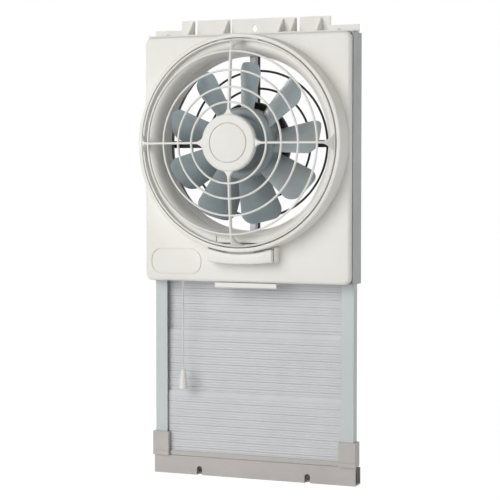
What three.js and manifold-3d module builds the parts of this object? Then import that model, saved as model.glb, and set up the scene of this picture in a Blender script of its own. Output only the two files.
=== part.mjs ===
// Window exhaust fan: a bell-mouth fan unit over an adjustable window filler frame.
// Millimetres. +X is to the right seen from the room, +Y is towards outdoors, +Z is up.
// The origin is the middle of the underside of the sill plate.

import * as THREE from 'three';
import { mergeVertices } from 'three/addons/utils/BufferGeometryUtils.js';
import Module from 'manifold-3d';

const wasm = await Module();
wasm.setup();

// ---------------------------------------------------------------- driving dimensions

const GAP = 0.3;                     // clearance between pieces that touch
const FLATNESS = 0.03;               // steps smaller than this are dropped from cut pieces
const ROUND = { large: 44, middle: 26, small: 14, screw: 8 };   // facets on round pieces
const SILL_MIDDLE_DEPTH = 43;        // from the front panel's face to the sill's middle

const PANEL = { width: 335, height: 376, bottom: 306, corner: 14, depth: 8, round: 5, wall: 2.5 };
const PANEL_TOP = PANEL.bottom + PANEL.height;
const PANEL_MIDDLE = PANEL.bottom + PANEL.height / 2;
const AXIS_HEIGHT = 517;             // fan axis above the underside of the sill

const MOUTH = {
  skirtFoot: 164.6, lipOuter: 163.4, lipFront: -33, seatOuter: 157, seatDepth: -24.5,
  seatInner: 148.6, throat: 130, throatDepth: 1, wall: 2.5,
};
const FRAME = { inset: 1.6, front: 8.3, back: 14, wall: 2.5 };
const ORIFICE = { radius: 132.5, front: 2, back: 22, wall: 2.4 };
const HOUSING = { front: 14.3, back: 53, wall: 2, opening: 142 };

const RINGS = [
  { radius: 60, depth: -66 },
  { radius: 82.5, depth: -63.6 },
  { radius: 107.7, depth: -60.6 },
  { radius: 135.6, depth: -56.8 },
];
const RING_WIRE = 1.9;               // half the width of a guard ring
const RIM = { outer: 156, inner: 149.4, front: -34, back: -24.8 };
const HOOK = { offset: 27, top: 673.4 };   // the two lugs that hold the guard's top in the lip
const CAP = { radius: 43, front: -68.5, back: -60, discRadius: 29 };
const RIB = { width: 3.8 };

const BLADE = {
  count: 9, first: 85.5, tip: 122.5, rootChord: 54, tipChord: 68, rootPitch: 46, tipPitch: 38,
  thick: 2.2, camber: 4.5, corner: 17, middle: -1,
};
const HUB = { front: -21, back: 18, radius: 54, wall: 3 };
const SHAFT_RADIUS = 4;
const MOTOR = { nose: 46, radius: 64, front: 1, step: 23.5, back: 30.7, rearRadius: 49, rearBack: 47 };
const BRACKET = { front: 31, width: 9.2, deep: 10, reach: 150 };

const REAR_RINGS = [84, 115];
const REAR_GUARD = { front: 53.3, wire: 1.8, outerRadius: 148, railWidth: 5, strapHeight: 11 };

const RAIL = { outer: 163.8, width: 19.4, front: 30, depth: 16.2, wall: 2, bottom: 29, top: 470 };
const BOARD = { halfWidth: 160, thick: 2.9, pitch: 4, groove: 0.5, deepGroove: 1, lip: 5, lean: 1.2 };
const LOWER_BOARD = { front: 34.6, bottom: 30, top: 131 };
const MIDDLE_BOARD = { front: 37.8, bottom: 46, top: 227 };
const UPPER_BOARD = { front: 41, bottom: 66, top: 321 };
const SILL = { halfWidth: 166.8, front: 30.5, back: 55.5, plateTop: 28.4, wall: 2.2 };
const BAND = { top: 36, front: 31.5, back: 34.3, groove: 1, grooveBack: 32.7 };   // above the sill's plate
const NOTCH = { offset: 89.7, width: 9, height: 14 };
const FOOT = { inner: 141, outer: 167.5, front: 26, back: 48, bottom: 28.8, top: 66 };

const FLANGE = { lowerTop: 694.6, upperTop: 708.7, upperHalf: 122.6, plateFront: 40.5, wall: 2.2 };
const FLANGE_SLOTS = [{ x: -98.5, width: 4.8 }, { x: -40, width: 3 }, { x: 70.3, width: 5 }];
const GUSSETS = [-102.5, -44, 46.5, 66, 108];
const KEYHOLE = { x: -1, low: 688.2, radius: 4.6, tip: 700.5 };

const LABEL = { x: -114.5, z: 336.5, width: 85, height: 40, corner: 18, groove: 1.1, deep: 0.8 };
const TAB = { inner: 166.4, outer: 182, halfWidth: 52.5, front: -25, back: -11, wall: 3 };
const TAB_ARM = { low: 344, high: 347.2, halfWidth: 7, travel: 5 };   // runs back through the panel
const TAB_POST = { near: 53.4, far: 56, front: -17, low: 339, high: 361 };
const GRIP = { halfWidth: 50.3, front: 0.6, depth: 12, top: 305.2, height: 8 };

const CORD = { x: -108.6, depth: 12, radius: 1, top: 303, bottom: 168.9 };
const KNOB = { top: 168.6, height: 31.4, topRadius: 3.9, bottomRadius: 7.2 };

const SWITCH = { low: 340, high: 378, front: 16, back: 40, halfWidth: 12 };
const SLIDE = { halfWidth: 3.4, front: 11.3, back: 17.4, low: 366.5 };   // the switch's moving piece
const EYE = { halfWidth: 2.4, back: 13.6, low: 352 };
const CAPACITOR = { x: 104, y: 31, z: 340, radius: 13, length: 42, strapRadius: 14.4, strapWidth: 10 };
const HEIGHT_SCREW = { x: 154, z: 334, shank: 2.5, head: 8.5, front: 46.7, headFront: 53.6, back: 61 };
const FLANGE_SCREW = { x: 140, y: 28 };

// ---------------------------------------------------------------- materials

function plastic(colour, roughness) {
  return new THREE.MeshStandardMaterial({ color: colour, roughness, metalness: 0 });
}

function metal(colour, roughness) {
  return new THREE.MeshStandardMaterial({ color: colour, roughness, metalness: 0.9 });
}

const ivory = plastic(0xf0efe9, 0.45);
const ivoryDisc = plastic(0xe9e6df, 0.5);
const housingGrey = plastic(0x9aa0a0, 0.55);
const bladeGrey = plastic(0x788890, 0.42);
const railGrey = plastic(0xc6cfcc, 0.5);
const boardGrey = plastic(0xc9c9ce, 0.6);
const sillGrey = plastic(0xb4b1ab, 0.55);
const motorBlack = plastic(0x26282b, 0.5);
const guardBlack = plastic(0x202225, 0.5);
const bracketSteel = metal(0x9a9c9e, 0.45);
const screwSteel = metal(0xb5b7ba, 0.35);
const cordWhite = plastic(0xe6e4dc, 0.8);
const switchBlack = plastic(0x303236, 0.5);

// ---------------------------------------------------------------- solid modelling helpers

function toSolid(geometry) {
  const plain = geometry.clone();
  plain.deleteAttribute('normal');
  plain.deleteAttribute('uv');
  const merged = mergeVertices(plain, 1e-4);
  const mesh = new wasm.Mesh({
    numProp: 3,
    vertProperties: new Float32Array(merged.attributes.position.array),
    triVerts: new Uint32Array(merged.index.array),
  });
  return new wasm.Manifold(mesh);
}

function toGeometry(solid) {
  const mesh = solid.simplify(FLATNESS).getMesh();
  const geometry = new THREE.BufferGeometry();
  geometry.setAttribute('position', new THREE.BufferAttribute(new Float32Array(mesh.vertProperties), 3));
  geometry.setIndex(new THREE.BufferAttribute(new Uint32Array(mesh.triVerts), 1));
  geometry.computeVertexNormals();
  return geometry;
}

function join(first, ...others) {
  let solid = toSolid(first);
  for (const other of others) {
    solid = solid.add(toSolid(other));
  }
  return toGeometry(solid);
}

function cut(first, ...others) {
  let solid = toSolid(first);
  for (const other of others) {
    solid = solid.subtract(toSolid(other));
  }
  return toGeometry(solid);
}

// A box given by its lowest and highest corners.
function block(low, high) {
  const size = high.map((value, axis) => value - low[axis]);
  const middle = high.map((value, axis) => (value + low[axis]) / 2);
  return new THREE.BoxGeometry(...size).translate(...middle);
}

// A shape drawn in X and Z, made solid from front to back along Y.
function plate(shape, front, back, curveSegments = 8) {
  const geometry = new THREE.ExtrudeGeometry(shape, {
    depth: back - front, bevelEnabled: false, curveSegments,
  });
  return geometry.rotateX(Math.PI / 2).translate(0, back, 0);
}

// A shape drawn in Y and Z, made solid from left to right along X.
function bar(shape, left, right, curveSegments = 6) {
  const geometry = new THREE.ExtrudeGeometry(shape, {
    depth: right - left, bevelEnabled: false, curveSegments,
  });
  const turn = new THREE.Matrix4().makeBasis(
    new THREE.Vector3(0, 1, 0), new THREE.Vector3(0, 0, 1), new THREE.Vector3(1, 0, 0),
  );
  return geometry.applyMatrix4(turn).translate(left, 0, 0);
}

// A shape drawn in X and Y, made solid upwards along Z.
function column(shape, bottom, top) {
  const geometry = new THREE.ExtrudeGeometry(shape, { depth: top - bottom, bevelEnabled: false });
  return geometry.translate(0, 0, bottom);
}

// An outline of [radius, level] points turned round the Y axis, in either drawing direction.
function revolve(outline, segments) {
  const points = outline.map(([radius, level]) => new THREE.Vector2(radius, level));
  if (THREE.ShapeUtils.area(points) < 0) {
    points.reverse();
  }
  return new THREE.LatheGeometry(points, segments);
}

// An outline of [radius, depth] points turned round the fan's axis.
function turned(outline, segments, height = AXIS_HEIGHT, x = 0) {
  return revolve(outline, segments).translate(x, 0, height);
}

function closed(outline) {
  return [...outline, outline[0]];
}

function polygon(corners) {
  return new THREE.Shape(corners.map(([across, up]) => new THREE.Vector2(across, up)));
}

function roundedRectangle(width, height, corner, x = 0, z = 0) {
  const shape = new THREE.Shape();
  const left = x - width / 2;
  const right = x + width / 2;
  const low = z - height / 2;
  const high = z + height / 2;
  shape.moveTo(left + corner, low);
  shape.lineTo(right - corner, low);
  shape.absarc(right - corner, low + corner, corner, -Math.PI / 2, 0);
  shape.lineTo(right, high - corner);
  shape.absarc(right - corner, high - corner, corner, 0, Math.PI / 2);
  shape.lineTo(left + corner, high);
  shape.absarc(left + corner, high - corner, corner, Math.PI / 2, Math.PI);
  shape.lineTo(left, low + corner);
  shape.absarc(left + corner, low + corner, corner, Math.PI, Math.PI * 1.5);
  return shape;
}

function disc(radius, front, back, segments, height = AXIS_HEIGHT, x = 0) {
  return turned([[0, front], [radius, front], [radius, back], [0, back]], segments, height, x);
}

// A ring of round wire about the fan's axis.
function wireRing(radius, depth, wire, segments, sides) {
  const outline = [];
  for (let side = 0; side < sides; side += 1) {
    const angle = -2 * Math.PI * (side + 0.5) / sides;
    outline.push([radius + wire * Math.cos(angle), depth + wire * Math.sin(angle)]);
  }
  return turned(closed(outline), segments);
}

function turnAboutAxis(geometry, degrees) {
  geometry.translate(0, 0, -AXIS_HEIGHT);
  geometry.rotateY(THREE.MathUtils.degToRad(degrees));
  return geometry.translate(0, 0, AXIS_HEIGHT);
}

// ---------------------------------------------------------------- front panel and its mouth

function panelShell() {
  const inset = PANEL.round;
  const face = roundedRectangle(
    PANEL.width - 2 * inset, PANEL.height - 2 * inset, PANEL.corner - inset / 2, 0, PANEL_MIDDLE,
  );
  const rounded = new THREE.ExtrudeGeometry(face, {
    depth: PANEL.depth, bevelEnabled: true, bevelThickness: PANEL.round, bevelSize: inset,
    bevelSegments: 3, curveSegments: 4,
  });
  rounded.rotateX(Math.PI / 2).translate(0, PANEL.depth + PANEL.round, 0);
  const behind = block([-300, PANEL.depth, 0], [300, 60, 900]);
  const hollowShape = roundedRectangle(
    PANEL.width - 2 * PANEL.wall, PANEL.height - 2 * PANEL.wall, PANEL.corner - 1, 0, PANEL_MIDDLE,
  );
  const hollow = plate(hollowShape, PANEL.round, 30, 3);
  const innerShape = roundedRectangle(
    PANEL.width - 2 * PANEL.round, PANEL.height - 2 * PANEL.round, PANEL.corner, 0, PANEL_MIDDLE,
  );
  const inner = plate(innerShape, PANEL.wall, 30, 3);
  return cut(rounded, behind, hollow, inner);
}

function bellMouth() {
  const { skirtFoot, lipOuter, lipFront, seatOuter, seatDepth, seatInner, throat, throatDepth } = MOUTH;
  const wall = MOUTH.wall;
  const outline = [
    [skirtFoot, 3], [lipOuter + 0.3, lipFront + 5], [lipOuter - 0.7, lipFront + 1.4],
    [lipOuter - 3, lipFront], [seatOuter, lipFront + 0.8], [seatOuter, seatDepth],
    [seatInner, seatDepth],
  ];
  // The flare narrows from the seat to the throat on a quarter ellipse.
  const steps = 4;
  for (let step = 1; step <= steps; step += 1) {
    const turn = step / steps * Math.PI / 2;
    const radius = throat + (seatInner - throat) * (1 - Math.sin(turn));
    const depth = throatDepth + (seatDepth - throatDepth) * Math.cos(turn);
    outline.push([radius, depth]);
  }
  outline.push([throat + wall, throatDepth]);
  outline.push([seatInner + wall, seatDepth + wall]);
  outline.push([skirtFoot - wall, seatDepth + wall]);
  outline.push([skirtFoot - wall, 3]);
  return turned(closed(outline), ROUND.large);
}

function labelGroove() {
  const ring = roundedRectangle(LABEL.width, LABEL.height, LABEL.corner, LABEL.x, LABEL.z);
  const inside = roundedRectangle(
    LABEL.width - 2 * LABEL.groove, LABEL.height - 2 * LABEL.groove, LABEL.corner - LABEL.groove,
    LABEL.x, LABEL.z,
  );
  ring.holes.push(inside);
  return plate(ring, -1, LABEL.deep, 6);
}

function frontPanel() {
  const throughHole = disc(MOUTH.skirtFoot - 1, -10, 30, ROUND.large);
  const shell = cut(panelShell(), throughHole, labelGroove());
  const bottom = AXIS_HEIGHT - MOUTH.lipOuter;
  const latchWindow = block([-34, -22.5, bottom + 3.5], [34, -9, bottom + 26]);
  const seatWindow = block([-34, -26, bottom + 7], [34, -9, bottom + 16]);
  const tongueWindow = block([-24, -19.5, bottom - 4], [24, -13, bottom + 8]);
  const hookPockets = [-1, 1].map((side) => block(
    [side * HOOK.offset - 7, -31, HOOK.top - 3.4],
    [side * HOOK.offset + 7, MOUTH.seatDepth, HOOK.top + 1.3],
  ));
  const stemSlot = armSlot(-5, PANEL.depth + 2);
  let panel = join(shell, bellMouth());
  panel = cut(panel, latchWindow, seatWindow, tongueWindow, stemSlot, ...hookPockets);
  const posts = [-1, 1].map((side) => {
    const near = side * TAB_POST.near;
    const far = side * TAB_POST.far;
    return block(
      [Math.min(near, far), TAB_POST.front, TAB_POST.low], [Math.max(near, far), 1, TAB_POST.high],
    );
  });
  return join(panel, ...posts);
}

// The room that the release tab's arm needs to slide down in.
function armSlot(front, back) {
  const side = TAB_ARM.halfWidth + 2;
  return block([-side, front, TAB_ARM.low - TAB_ARM.travel - 0.8], [side, back, TAB_ARM.high + 1]);
}

// ---------------------------------------------------------------- main frame and housing

function mainFrame() {
  const half = PANEL.width / 2 - FRAME.inset;
  const low = PANEL.bottom + FRAME.inset;
  const high = PANEL_TOP - FRAME.inset;
  const outer = roundedRectangle(2 * half, high - low, PANEL.corner - 3, 0, (low + high) / 2);
  const tray = plate(outer, FRAME.front, FRAME.back, 4);
  const insideShape = roundedRectangle(
    2 * (half - FRAME.wall), high - low - 2 * FRAME.wall, PANEL.corner - 5, 0, (low + high) / 2,
  );
  const inside = plate(insideShape, FRAME.front + FRAME.wall, FRAME.back + 1, 4);
  const sleeve = turned(closed([
    [ORIFICE.radius, ORIFICE.front], [ORIFICE.radius, ORIFICE.back],
    [ORIFICE.radius + ORIFICE.wall, ORIFICE.back], [ORIFICE.radius + ORIFICE.wall, ORIFICE.front],
  ]), ROUND.large);
  const airway = disc(ORIFICE.radius + 1, FRAME.front - 3, FRAME.back + 3, ROUND.large);
  const padSlot = block([-9, 0, 329.5], [9, 20, TAB_ARM.high + 1]);
  const cordHole = cylinderUpright(2.4, CORD.x, CORD.depth, 300, 312);
  const ribs = [-1, 1].map((side) => block(
    [side * 150 - 1.2, FRAME.front + 1, PANEL.bottom + 2], [side * 150 + 1.2, FRAME.back, PANEL_TOP - 2],
  ));
  return cut(join(cut(tray, inside, airway), sleeve, ...ribs), padSlot, cordHole);
}

function cylinderUpright(radius, x, y, bottom, top, segments = 20) {
  const geometry = new THREE.CylinderGeometry(radius, radius, top - bottom, segments);
  return geometry.rotateX(Math.PI / 2).translate(x, y, (top + bottom) / 2);
}

function housing() {
  const half = PANEL.width / 2;
  const wall = HOUSING.wall;
  const outer = block([-half, HOUSING.front, PANEL.bottom], [half, HOUSING.back, PANEL_TOP]);
  const inner = block(
    [-half + wall, HOUSING.front - 1, PANEL.bottom + wall],
    [half - wall, HOUSING.back - wall, PANEL_TOP - wall],
  );
  const opening = disc(HOUSING.opening, HOUSING.back - 6, HOUSING.back + 4, ROUND.large);
  const boardSlot = block([-161, 40.4, PANEL.bottom - 3], [161, 44.3, PANEL.bottom + 5]);
  const pieces = [inner, opening, boardSlot];
  for (const side of [-1, 1]) {
    const near = side * (RAIL.outer - RAIL.width - 1);
    const far = side * (half - wall);
    pieces.push(block(
      [Math.min(near, far), RAIL.front - 1, PANEL.bottom - 3],
      [Math.max(near, far), RAIL.front + RAIL.depth + 1, PANEL.bottom + 5],
    ));
    pieces.push(disc(3, 46, 60, 12, HEIGHT_SCREW.z, side * HEIGHT_SCREW.x));
    pieces.push(cylinderUpright(
      2, side * FLANGE_SCREW.x, FLANGE_SCREW.y, PANEL_TOP - 5, PANEL_TOP + 3, ROUND.screw,
    ));
  }
  for (const [x, z] of rearScrewPlaces()) {
    pieces.push(disc(2.1, 46, 60, ROUND.screw, z, x));
  }
  for (const z of bracketScrewHeights()) {
    pieces.push(disc(2.1, 46, 60, ROUND.screw, z, 0));
  }
  return cut(outer, ...pieces);
}

// ---------------------------------------------------------------- screws

function rearScrewPlaces() {
  const reach = REAR_GUARD.outerRadius * Math.SQRT1_2;
  return [[-1, 1], [1, 1], [1, -1], [-1, -1]].map(
    ([sideways, upwards]) => [sideways * reach, AXIS_HEIGHT + upwards * reach],
  );
}

function bracketScrewHeights() {
  return [AXIS_HEIGHT + BRACKET.reach + 6, AXIS_HEIGHT - BRACKET.reach - 6];
}

// A slotted pan-head screw about the Y axis: head from y = 0 to -2.4, shank behind it.
function screw(length) {
  const outline = [[0, -2.4], [2.6, -2], [3.7, 0], [1.7, 0], [1.7, length], [0, length]];
  const slot = block([-5, -3, -0.5], [5, -1.3, 0.5]);
  return cut(revolve(outline, ROUND.screw), slot);
}

function thumbScrew() {
  const { shank, head, front, headFront, back } = HEIGHT_SCREW;
  const stud = turned(
    [[0, front], [shank, front], [shank, headFront + 1], [0, headFront + 1]], ROUND.screw, 0,
  );
  const grip = turned([
    [0, headFront], [head - 0.5, headFront], [head, headFront + 1.4], [head, back - 1],
    [head - 0.9, back], [0, back],
  ], ROUND.small, 0);
  const grooves = [];
  const grooveCount = 5;
  for (let index = 0; index < grooveCount; index += 1) {
    const groove = block([-1.2, headFront - 2, head - 1.2], [1.2, back + 1, head + 1]);
    grooves.push(groove.rotateY(index * 2 * Math.PI / grooveCount));
  }
  return cut(join(stud, grip), ...grooves);
}

// ---------------------------------------------------------------- front guard

function guardRing(ring, segments) {
  const { radius, depth } = ring;
  const half = RING_WIRE;
  const outline = [
    [radius - half, depth + 0.8], [radius, depth - 1.6], [radius + half, depth + 0.8],
    [radius, depth + 3.4],
  ];
  return turned(closed(outline), segments);
}

// One rib stands on edge from the cap to the rim, bowed forwards.
function guardRib(degrees) {
  const side = new THREE.Shape();
  const up = (radius) => AXIS_HEIGHT + radius;
  side.moveTo(CAP.front + 2.2, up(40));
  side.quadraticCurveTo(-66.5, up(60), -63.6 - 1, up(82.5));
  side.quadraticCurveTo(-60.6 - 1.4, up(107), -56.8 - 1.6, up(136));
  side.quadraticCurveTo(-53, up(149), RIM.front + 1, up(152.6));
  side.lineTo(RIM.front + 5, up(151));
  side.quadraticCurveTo(-46, up(143), -52.5, up(132));
  side.quadraticCurveTo(-55.5, up(107), -57.5, up(82.5));
  side.quadraticCurveTo(-59, up(60), CAP.back - 0.6, up(40));
  const fin = bar(side, -RIB.width / 2, RIB.width / 2, 3);
  const rimRoot = new THREE.Shape();
  rimRoot.moveTo(-11, up(150));
  rimRoot.quadraticCurveTo(-3, up(148), -RIB.width / 2 + 0.3, up(137));
  rimRoot.lineTo(RIB.width / 2 - 0.3, up(137));
  rimRoot.quadraticCurveTo(3, up(148), 11, up(150));
  rimRoot.lineTo(11, up(153));
  rimRoot.lineTo(-11, up(153));
  const slope = bar(polygon([
    [-58.5, up(136)], [-53, up(149)], [RIM.front + 1, up(154)], [RIM.front + 4, up(150)],
    [-46, up(143)], [-54.5, up(136)],
  ]), -20, 20);
  const webSolid = toSolid(plate(rimRoot, -62, -25, 3)).intersect(toSolid(slope));
  const capRoot = new THREE.Shape();
  capRoot.moveTo(-10, up(41));
  capRoot.quadraticCurveTo(-3, up(44), -RIB.width / 2 + 0.3, up(53));
  capRoot.lineTo(RIB.width / 2 - 0.3, up(53));
  capRoot.quadraticCurveTo(3, up(44), 10, up(41));
  const web = plate(capRoot, -66, -62.5, 3);
  return turnAboutAxis(join(fin, toGeometry(webSolid), web), degrees);
}

function frontGuard() {
  const ringSegments = [28, 34, 40, 46];
  const rings = RINGS.map((ring, index) => guardRing(ring, ringSegments[index]));
  const ribs = [0, 90, 180, 270].map((degrees) => guardRib(degrees));
  const rim = turned(closed([
    [RIM.inner, RIM.back], [RIM.outer, RIM.back], [RIM.outer, RIM.front + 2],
    [RIM.outer - 2.6, RIM.front], [RIM.inner + 1.2, RIM.front + 1], [RIM.inner, RIM.front + 3],
  ]), ROUND.large);
  const cap = turned([
    [0, CAP.front], [CAP.radius - 3, CAP.front], [CAP.radius - 0.6, CAP.front + 1.2],
    [CAP.radius, CAP.front + 3.5], [CAP.radius, CAP.back], [0, CAP.back],
  ], ROUND.middle + 4);
  const discSeat = disc(CAP.discRadius + GAP + 0.5, CAP.front - 1, CAP.front + 2.3, ROUND.middle);
  const low = AXIS_HEIGHT - RIM.inner;
  const latchLug = block([-26, RIM.back - 4, low - 4.4], [26, -10.5, low - 1.9]);
  const hooks = [-1, 1].map((side) => block(
    [side * HOOK.offset - 5, -29.5, HOOK.top - 5], [side * HOOK.offset + 5, -26.5, HOOK.top],
  ));
  return cut(join(cap, ...ribs, ...rings, rim, latchLug, ...hooks), discSeat);
}

function capDisc() {
  const { front, discRadius } = CAP;
  return turned([
    [0, front - 0.2], [discRadius - 0.8, front], [discRadius, front + 0.7],
    [discRadius, front + 2], [0, front + 2],
  ], ROUND.middle);
}

// ---------------------------------------------------------------- rotor

// One blade is a twisted, cambered skin of even thickness. Its points run from root to tip
// and from the trailing to the leading edge, first on the front face and then on the back.
function blade(degrees) {
  const spanSteps = 6;
  const chordSteps = 4;
  const root = HUB.radius - 3;
  const rowLength = chordSteps + 1;
  const faceLength = (spanSteps + 1) * rowLength;
  const positions = [];
  const indices = [];
  for (const face of [1, -1]) {
    for (let row = 0; row <= spanSteps; row += 1) {
      const along = 1 - (1 - row / spanSteps) ** 1.35;
      const radius = root + (BLADE.tip - root) * along;
      const grown = Math.min(1, (radius - root) / 58);
      const chord = BLADE.rootChord + (BLADE.tipChord - BLADE.rootChord) * grown;
      const pitch = THREE.MathUtils.degToRad(
        BLADE.rootPitch + (BLADE.tipPitch - BLADE.rootPitch) * along,
      );
      const intoCorner = Math.max(0, radius - (BLADE.tip - BLADE.corner)) / BLADE.corner;
      const drawnIn = BLADE.corner * (1 - Math.sqrt(Math.max(0, 1 - intoCorner ** 2)));
      const half = chord / 2 - drawnIn * 0.92;
      for (let column = 0; column <= chordSteps; column += 1) {
        const across = 2 * column / chordSteps - 1;
        const offset = across * half;
        const bulge = BLADE.camber * (1 - (offset / (chord / 2)) ** 2);
        const edge = Math.sqrt(Math.max(0.12, 1 - across ** 4));
        const lift = bulge + face * BLADE.thick / 2 * edge;
        const forwards = offset * Math.sin(pitch) + lift * Math.cos(pitch);
        const sideways = offset * Math.cos(pitch) - lift * Math.sin(pitch);
        // The skin is wrapped on its radius, so the tip follows the round orifice.
        const wrapped = sideways / radius;
        positions.push(
          radius * Math.sin(wrapped), BLADE.middle - forwards, radius * Math.cos(wrapped),
        );
      }
    }
  }
  const quad = (a, b, c, d) => indices.push(a, b, c, a, c, d);
  for (let row = 0; row < spanSteps; row += 1) {
    for (let column = 0; column < chordSteps; column += 1) {
      const a = row * rowLength + column;
      quad(a, a + 1, a + rowLength + 1, a + rowLength);
      const b = a + faceLength;
      quad(b, b + rowLength, b + rowLength + 1, b + 1);
    }
    const left = row * rowLength;
    quad(left, left + rowLength, left + rowLength + faceLength, left + faceLength);
    const right = left + chordSteps;
    quad(right, right + faceLength, right + faceLength + rowLength, right + rowLength);
  }
  for (let column = 0; column < chordSteps; column += 1) {
    quad(column, column + faceLength, column + faceLength + 1, column + 1);
    const last = spanSteps * rowLength + column;
    quad(last, last + 1, last + 1 + faceLength, last + faceLength);
  }
  const geometry = new THREE.BufferGeometry();
  geometry.setAttribute('position', new THREE.Float32BufferAttribute(positions, 3));
  geometry.setIndex(indices);
  geometry.translate(0, 0, AXIS_HEIGHT);
  return turnAboutAxis(geometry, degrees);
}

function hub() {
  const { front, back, radius, wall } = HUB;
  return turned(closed([
    [SHAFT_RADIUS + GAP, front + 8], [11, front + 8], [13, front + 10.5], [37, front + 10.5],
    [41, front + 1.6], [44.5, front], [50.5, front + 1.4],
    [radius, front + 7], [radius, back], [radius - wall, back], [radius - wall, front + 14],
    [13, front + 13.5], [11, front + 20], [SHAFT_RADIUS + GAP, front + 20],
  ]), ROUND.middle);
}

function rotor() {
  const spacing = 360 / BLADE.count;
  let solid = toSolid(hub());
  const hollow = toSolid(disc(HUB.radius - HUB.wall, HUB.front + 14, HUB.back + 40, ROUND.middle));
  for (let index = 0; index < BLADE.count; index += 1) {
    const degrees = 90 - (BLADE.first + index * spacing);
    solid = solid.add(toSolid(blade(degrees)).subtract(hollow));
  }
  return toGeometry(solid);
}

function rotorNut() {
  const front = HUB.front + 8 - GAP;
  const body = turned([
    [0, front - 5], [10, front - 5], [13, front - 3.5], [13, front], [0, front],
  ], ROUND.small);
  const grips = [0, 60, 120].map((degrees) => turnAboutAxis(
    block([-16, front - 4, AXIS_HEIGHT - 2], [16, front, AXIS_HEIGHT + 2]), degrees,
  ));
  return join(body, ...grips);
}

function shaft() {
  const front = HUB.front + 8;
  return turned([
    [0, front], [SHAFT_RADIUS, front], [SHAFT_RADIUS, 14], [0, 14],
  ], 20);
}

// ---------------------------------------------------------------- motor and its bracket

function motorShell() {
  const { nose, radius, front, step, back } = MOTOR;
  const body = turned([
    [0, front], [12, front], [13.5, front + 2.2], [nose - 4, front + 2.8], [nose, front + 7],
    [nose, step], [radius - 2, step], [radius, step + 2], [radius, back], [0, back],
  ], ROUND.middle);
  const bore = disc(SHAFT_RADIUS + GAP, front - 2, 14.5, 20);
  return cut(body, bore);
}

function motorRearBell() {
  const front = BRACKET.front + 2.6;
  const { rearRadius, rearBack } = MOTOR;
  const bell = turned([
    [0, front], [rearRadius, front], [rearRadius, rearBack - 6], [rearRadius - 5, rearBack - 1],
    [rearRadius - 12, rearBack], [0, rearBack],
  ], ROUND.middle);
  const channelRoom = block(
    [-BRACKET.width / 2 - GAP, front - 2, AXIS_HEIGHT - 80],
    [BRACKET.width / 2 + GAP, BRACKET.front + BRACKET.deep + GAP, AXIS_HEIGHT + 80],
  );
  const vents = [];
  for (let index = 0; index < 8; index += 1) {
    const vent = block(
      [18, rearBack - 3.5, AXIS_HEIGHT - 2], [38, rearBack + 2, AXIS_HEIGHT + 2],
    );
    vents.push(turnAboutAxis(vent, 22.5 + index * 45));
  }
  return cut(bell, channelRoom, ...vents);
}

function motorBracket() {
  const { front, width, deep, reach } = BRACKET;
  const half = width / 2;
  const low = AXIS_HEIGHT - reach;
  const high = AXIS_HEIGHT + reach;
  const beam = block([-half, front, low], [half, front + deep, high]);
  const inside = block([-half + 1.4, front + 1.4, low + 3], [half - 1.4, front + deep + 3, high - 3]);
  const plateRound = disc(36, front, front + 2, ROUND.middle);
  const ends = [];
  const screwHoles = [];
  const footBack = HOUSING.back - HOUSING.wall - GAP;
  for (const direction of [-1, 1]) {
    const tip = AXIS_HEIGHT + direction * reach;
    const inward = tip - direction * 3;
    const outward = tip + direction * 13;
    ends.push(block(
      [-half, front, Math.min(tip, inward)], [half, footBack, Math.max(tip, inward)],
    ));
    ends.push(block(
      [-11, footBack - 2, Math.min(inward, outward)], [11, footBack, Math.max(inward, outward)],
    ));
  }
  for (const z of bracketScrewHeights()) {
    screwHoles.push(disc(2.1, 40, 60, ROUND.screw, z, 0));
  }
  return cut(join(cut(beam, inside), plateRound, ...ends), ...screwHoles);
}

// ---------------------------------------------------------------- rear guard

function rearGuard() {
  const { front, wire, outerRadius, railWidth, strapHeight } = REAR_GUARD;
  const depth = front + 2.4;
  const rings = REAR_RINGS.map((radius, index) => wireRing(radius, depth, wire, 28 + 8 * index, 4));
  const outer = turned(closed([
    [outerRadius - 4, front], [outerRadius - 4, front + 4.4], [outerRadius + 4, front + 4.4],
    [outerRadius + 4, front],
  ]), ROUND.large);
  const reach = outerRadius - 1;
  const upright = block(
    [-railWidth / 2, front, AXIS_HEIGHT - reach], [railWidth / 2, front + 4, AXIS_HEIGHT + reach],
  );
  const across = block(
    [-reach, front + 0.6, AXIS_HEIGHT - strapHeight / 2],
    [reach, front + 3.4, AXIS_HEIGHT + strapHeight / 2],
  );
  const holes = rearScrewPlaces().map(([x, z]) => disc(2.1, 50, 62, ROUND.screw, z, x));
  return cut(join(outer, upright, across, ...rings), ...holes);
}

// ---------------------------------------------------------------- top flange

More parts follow.
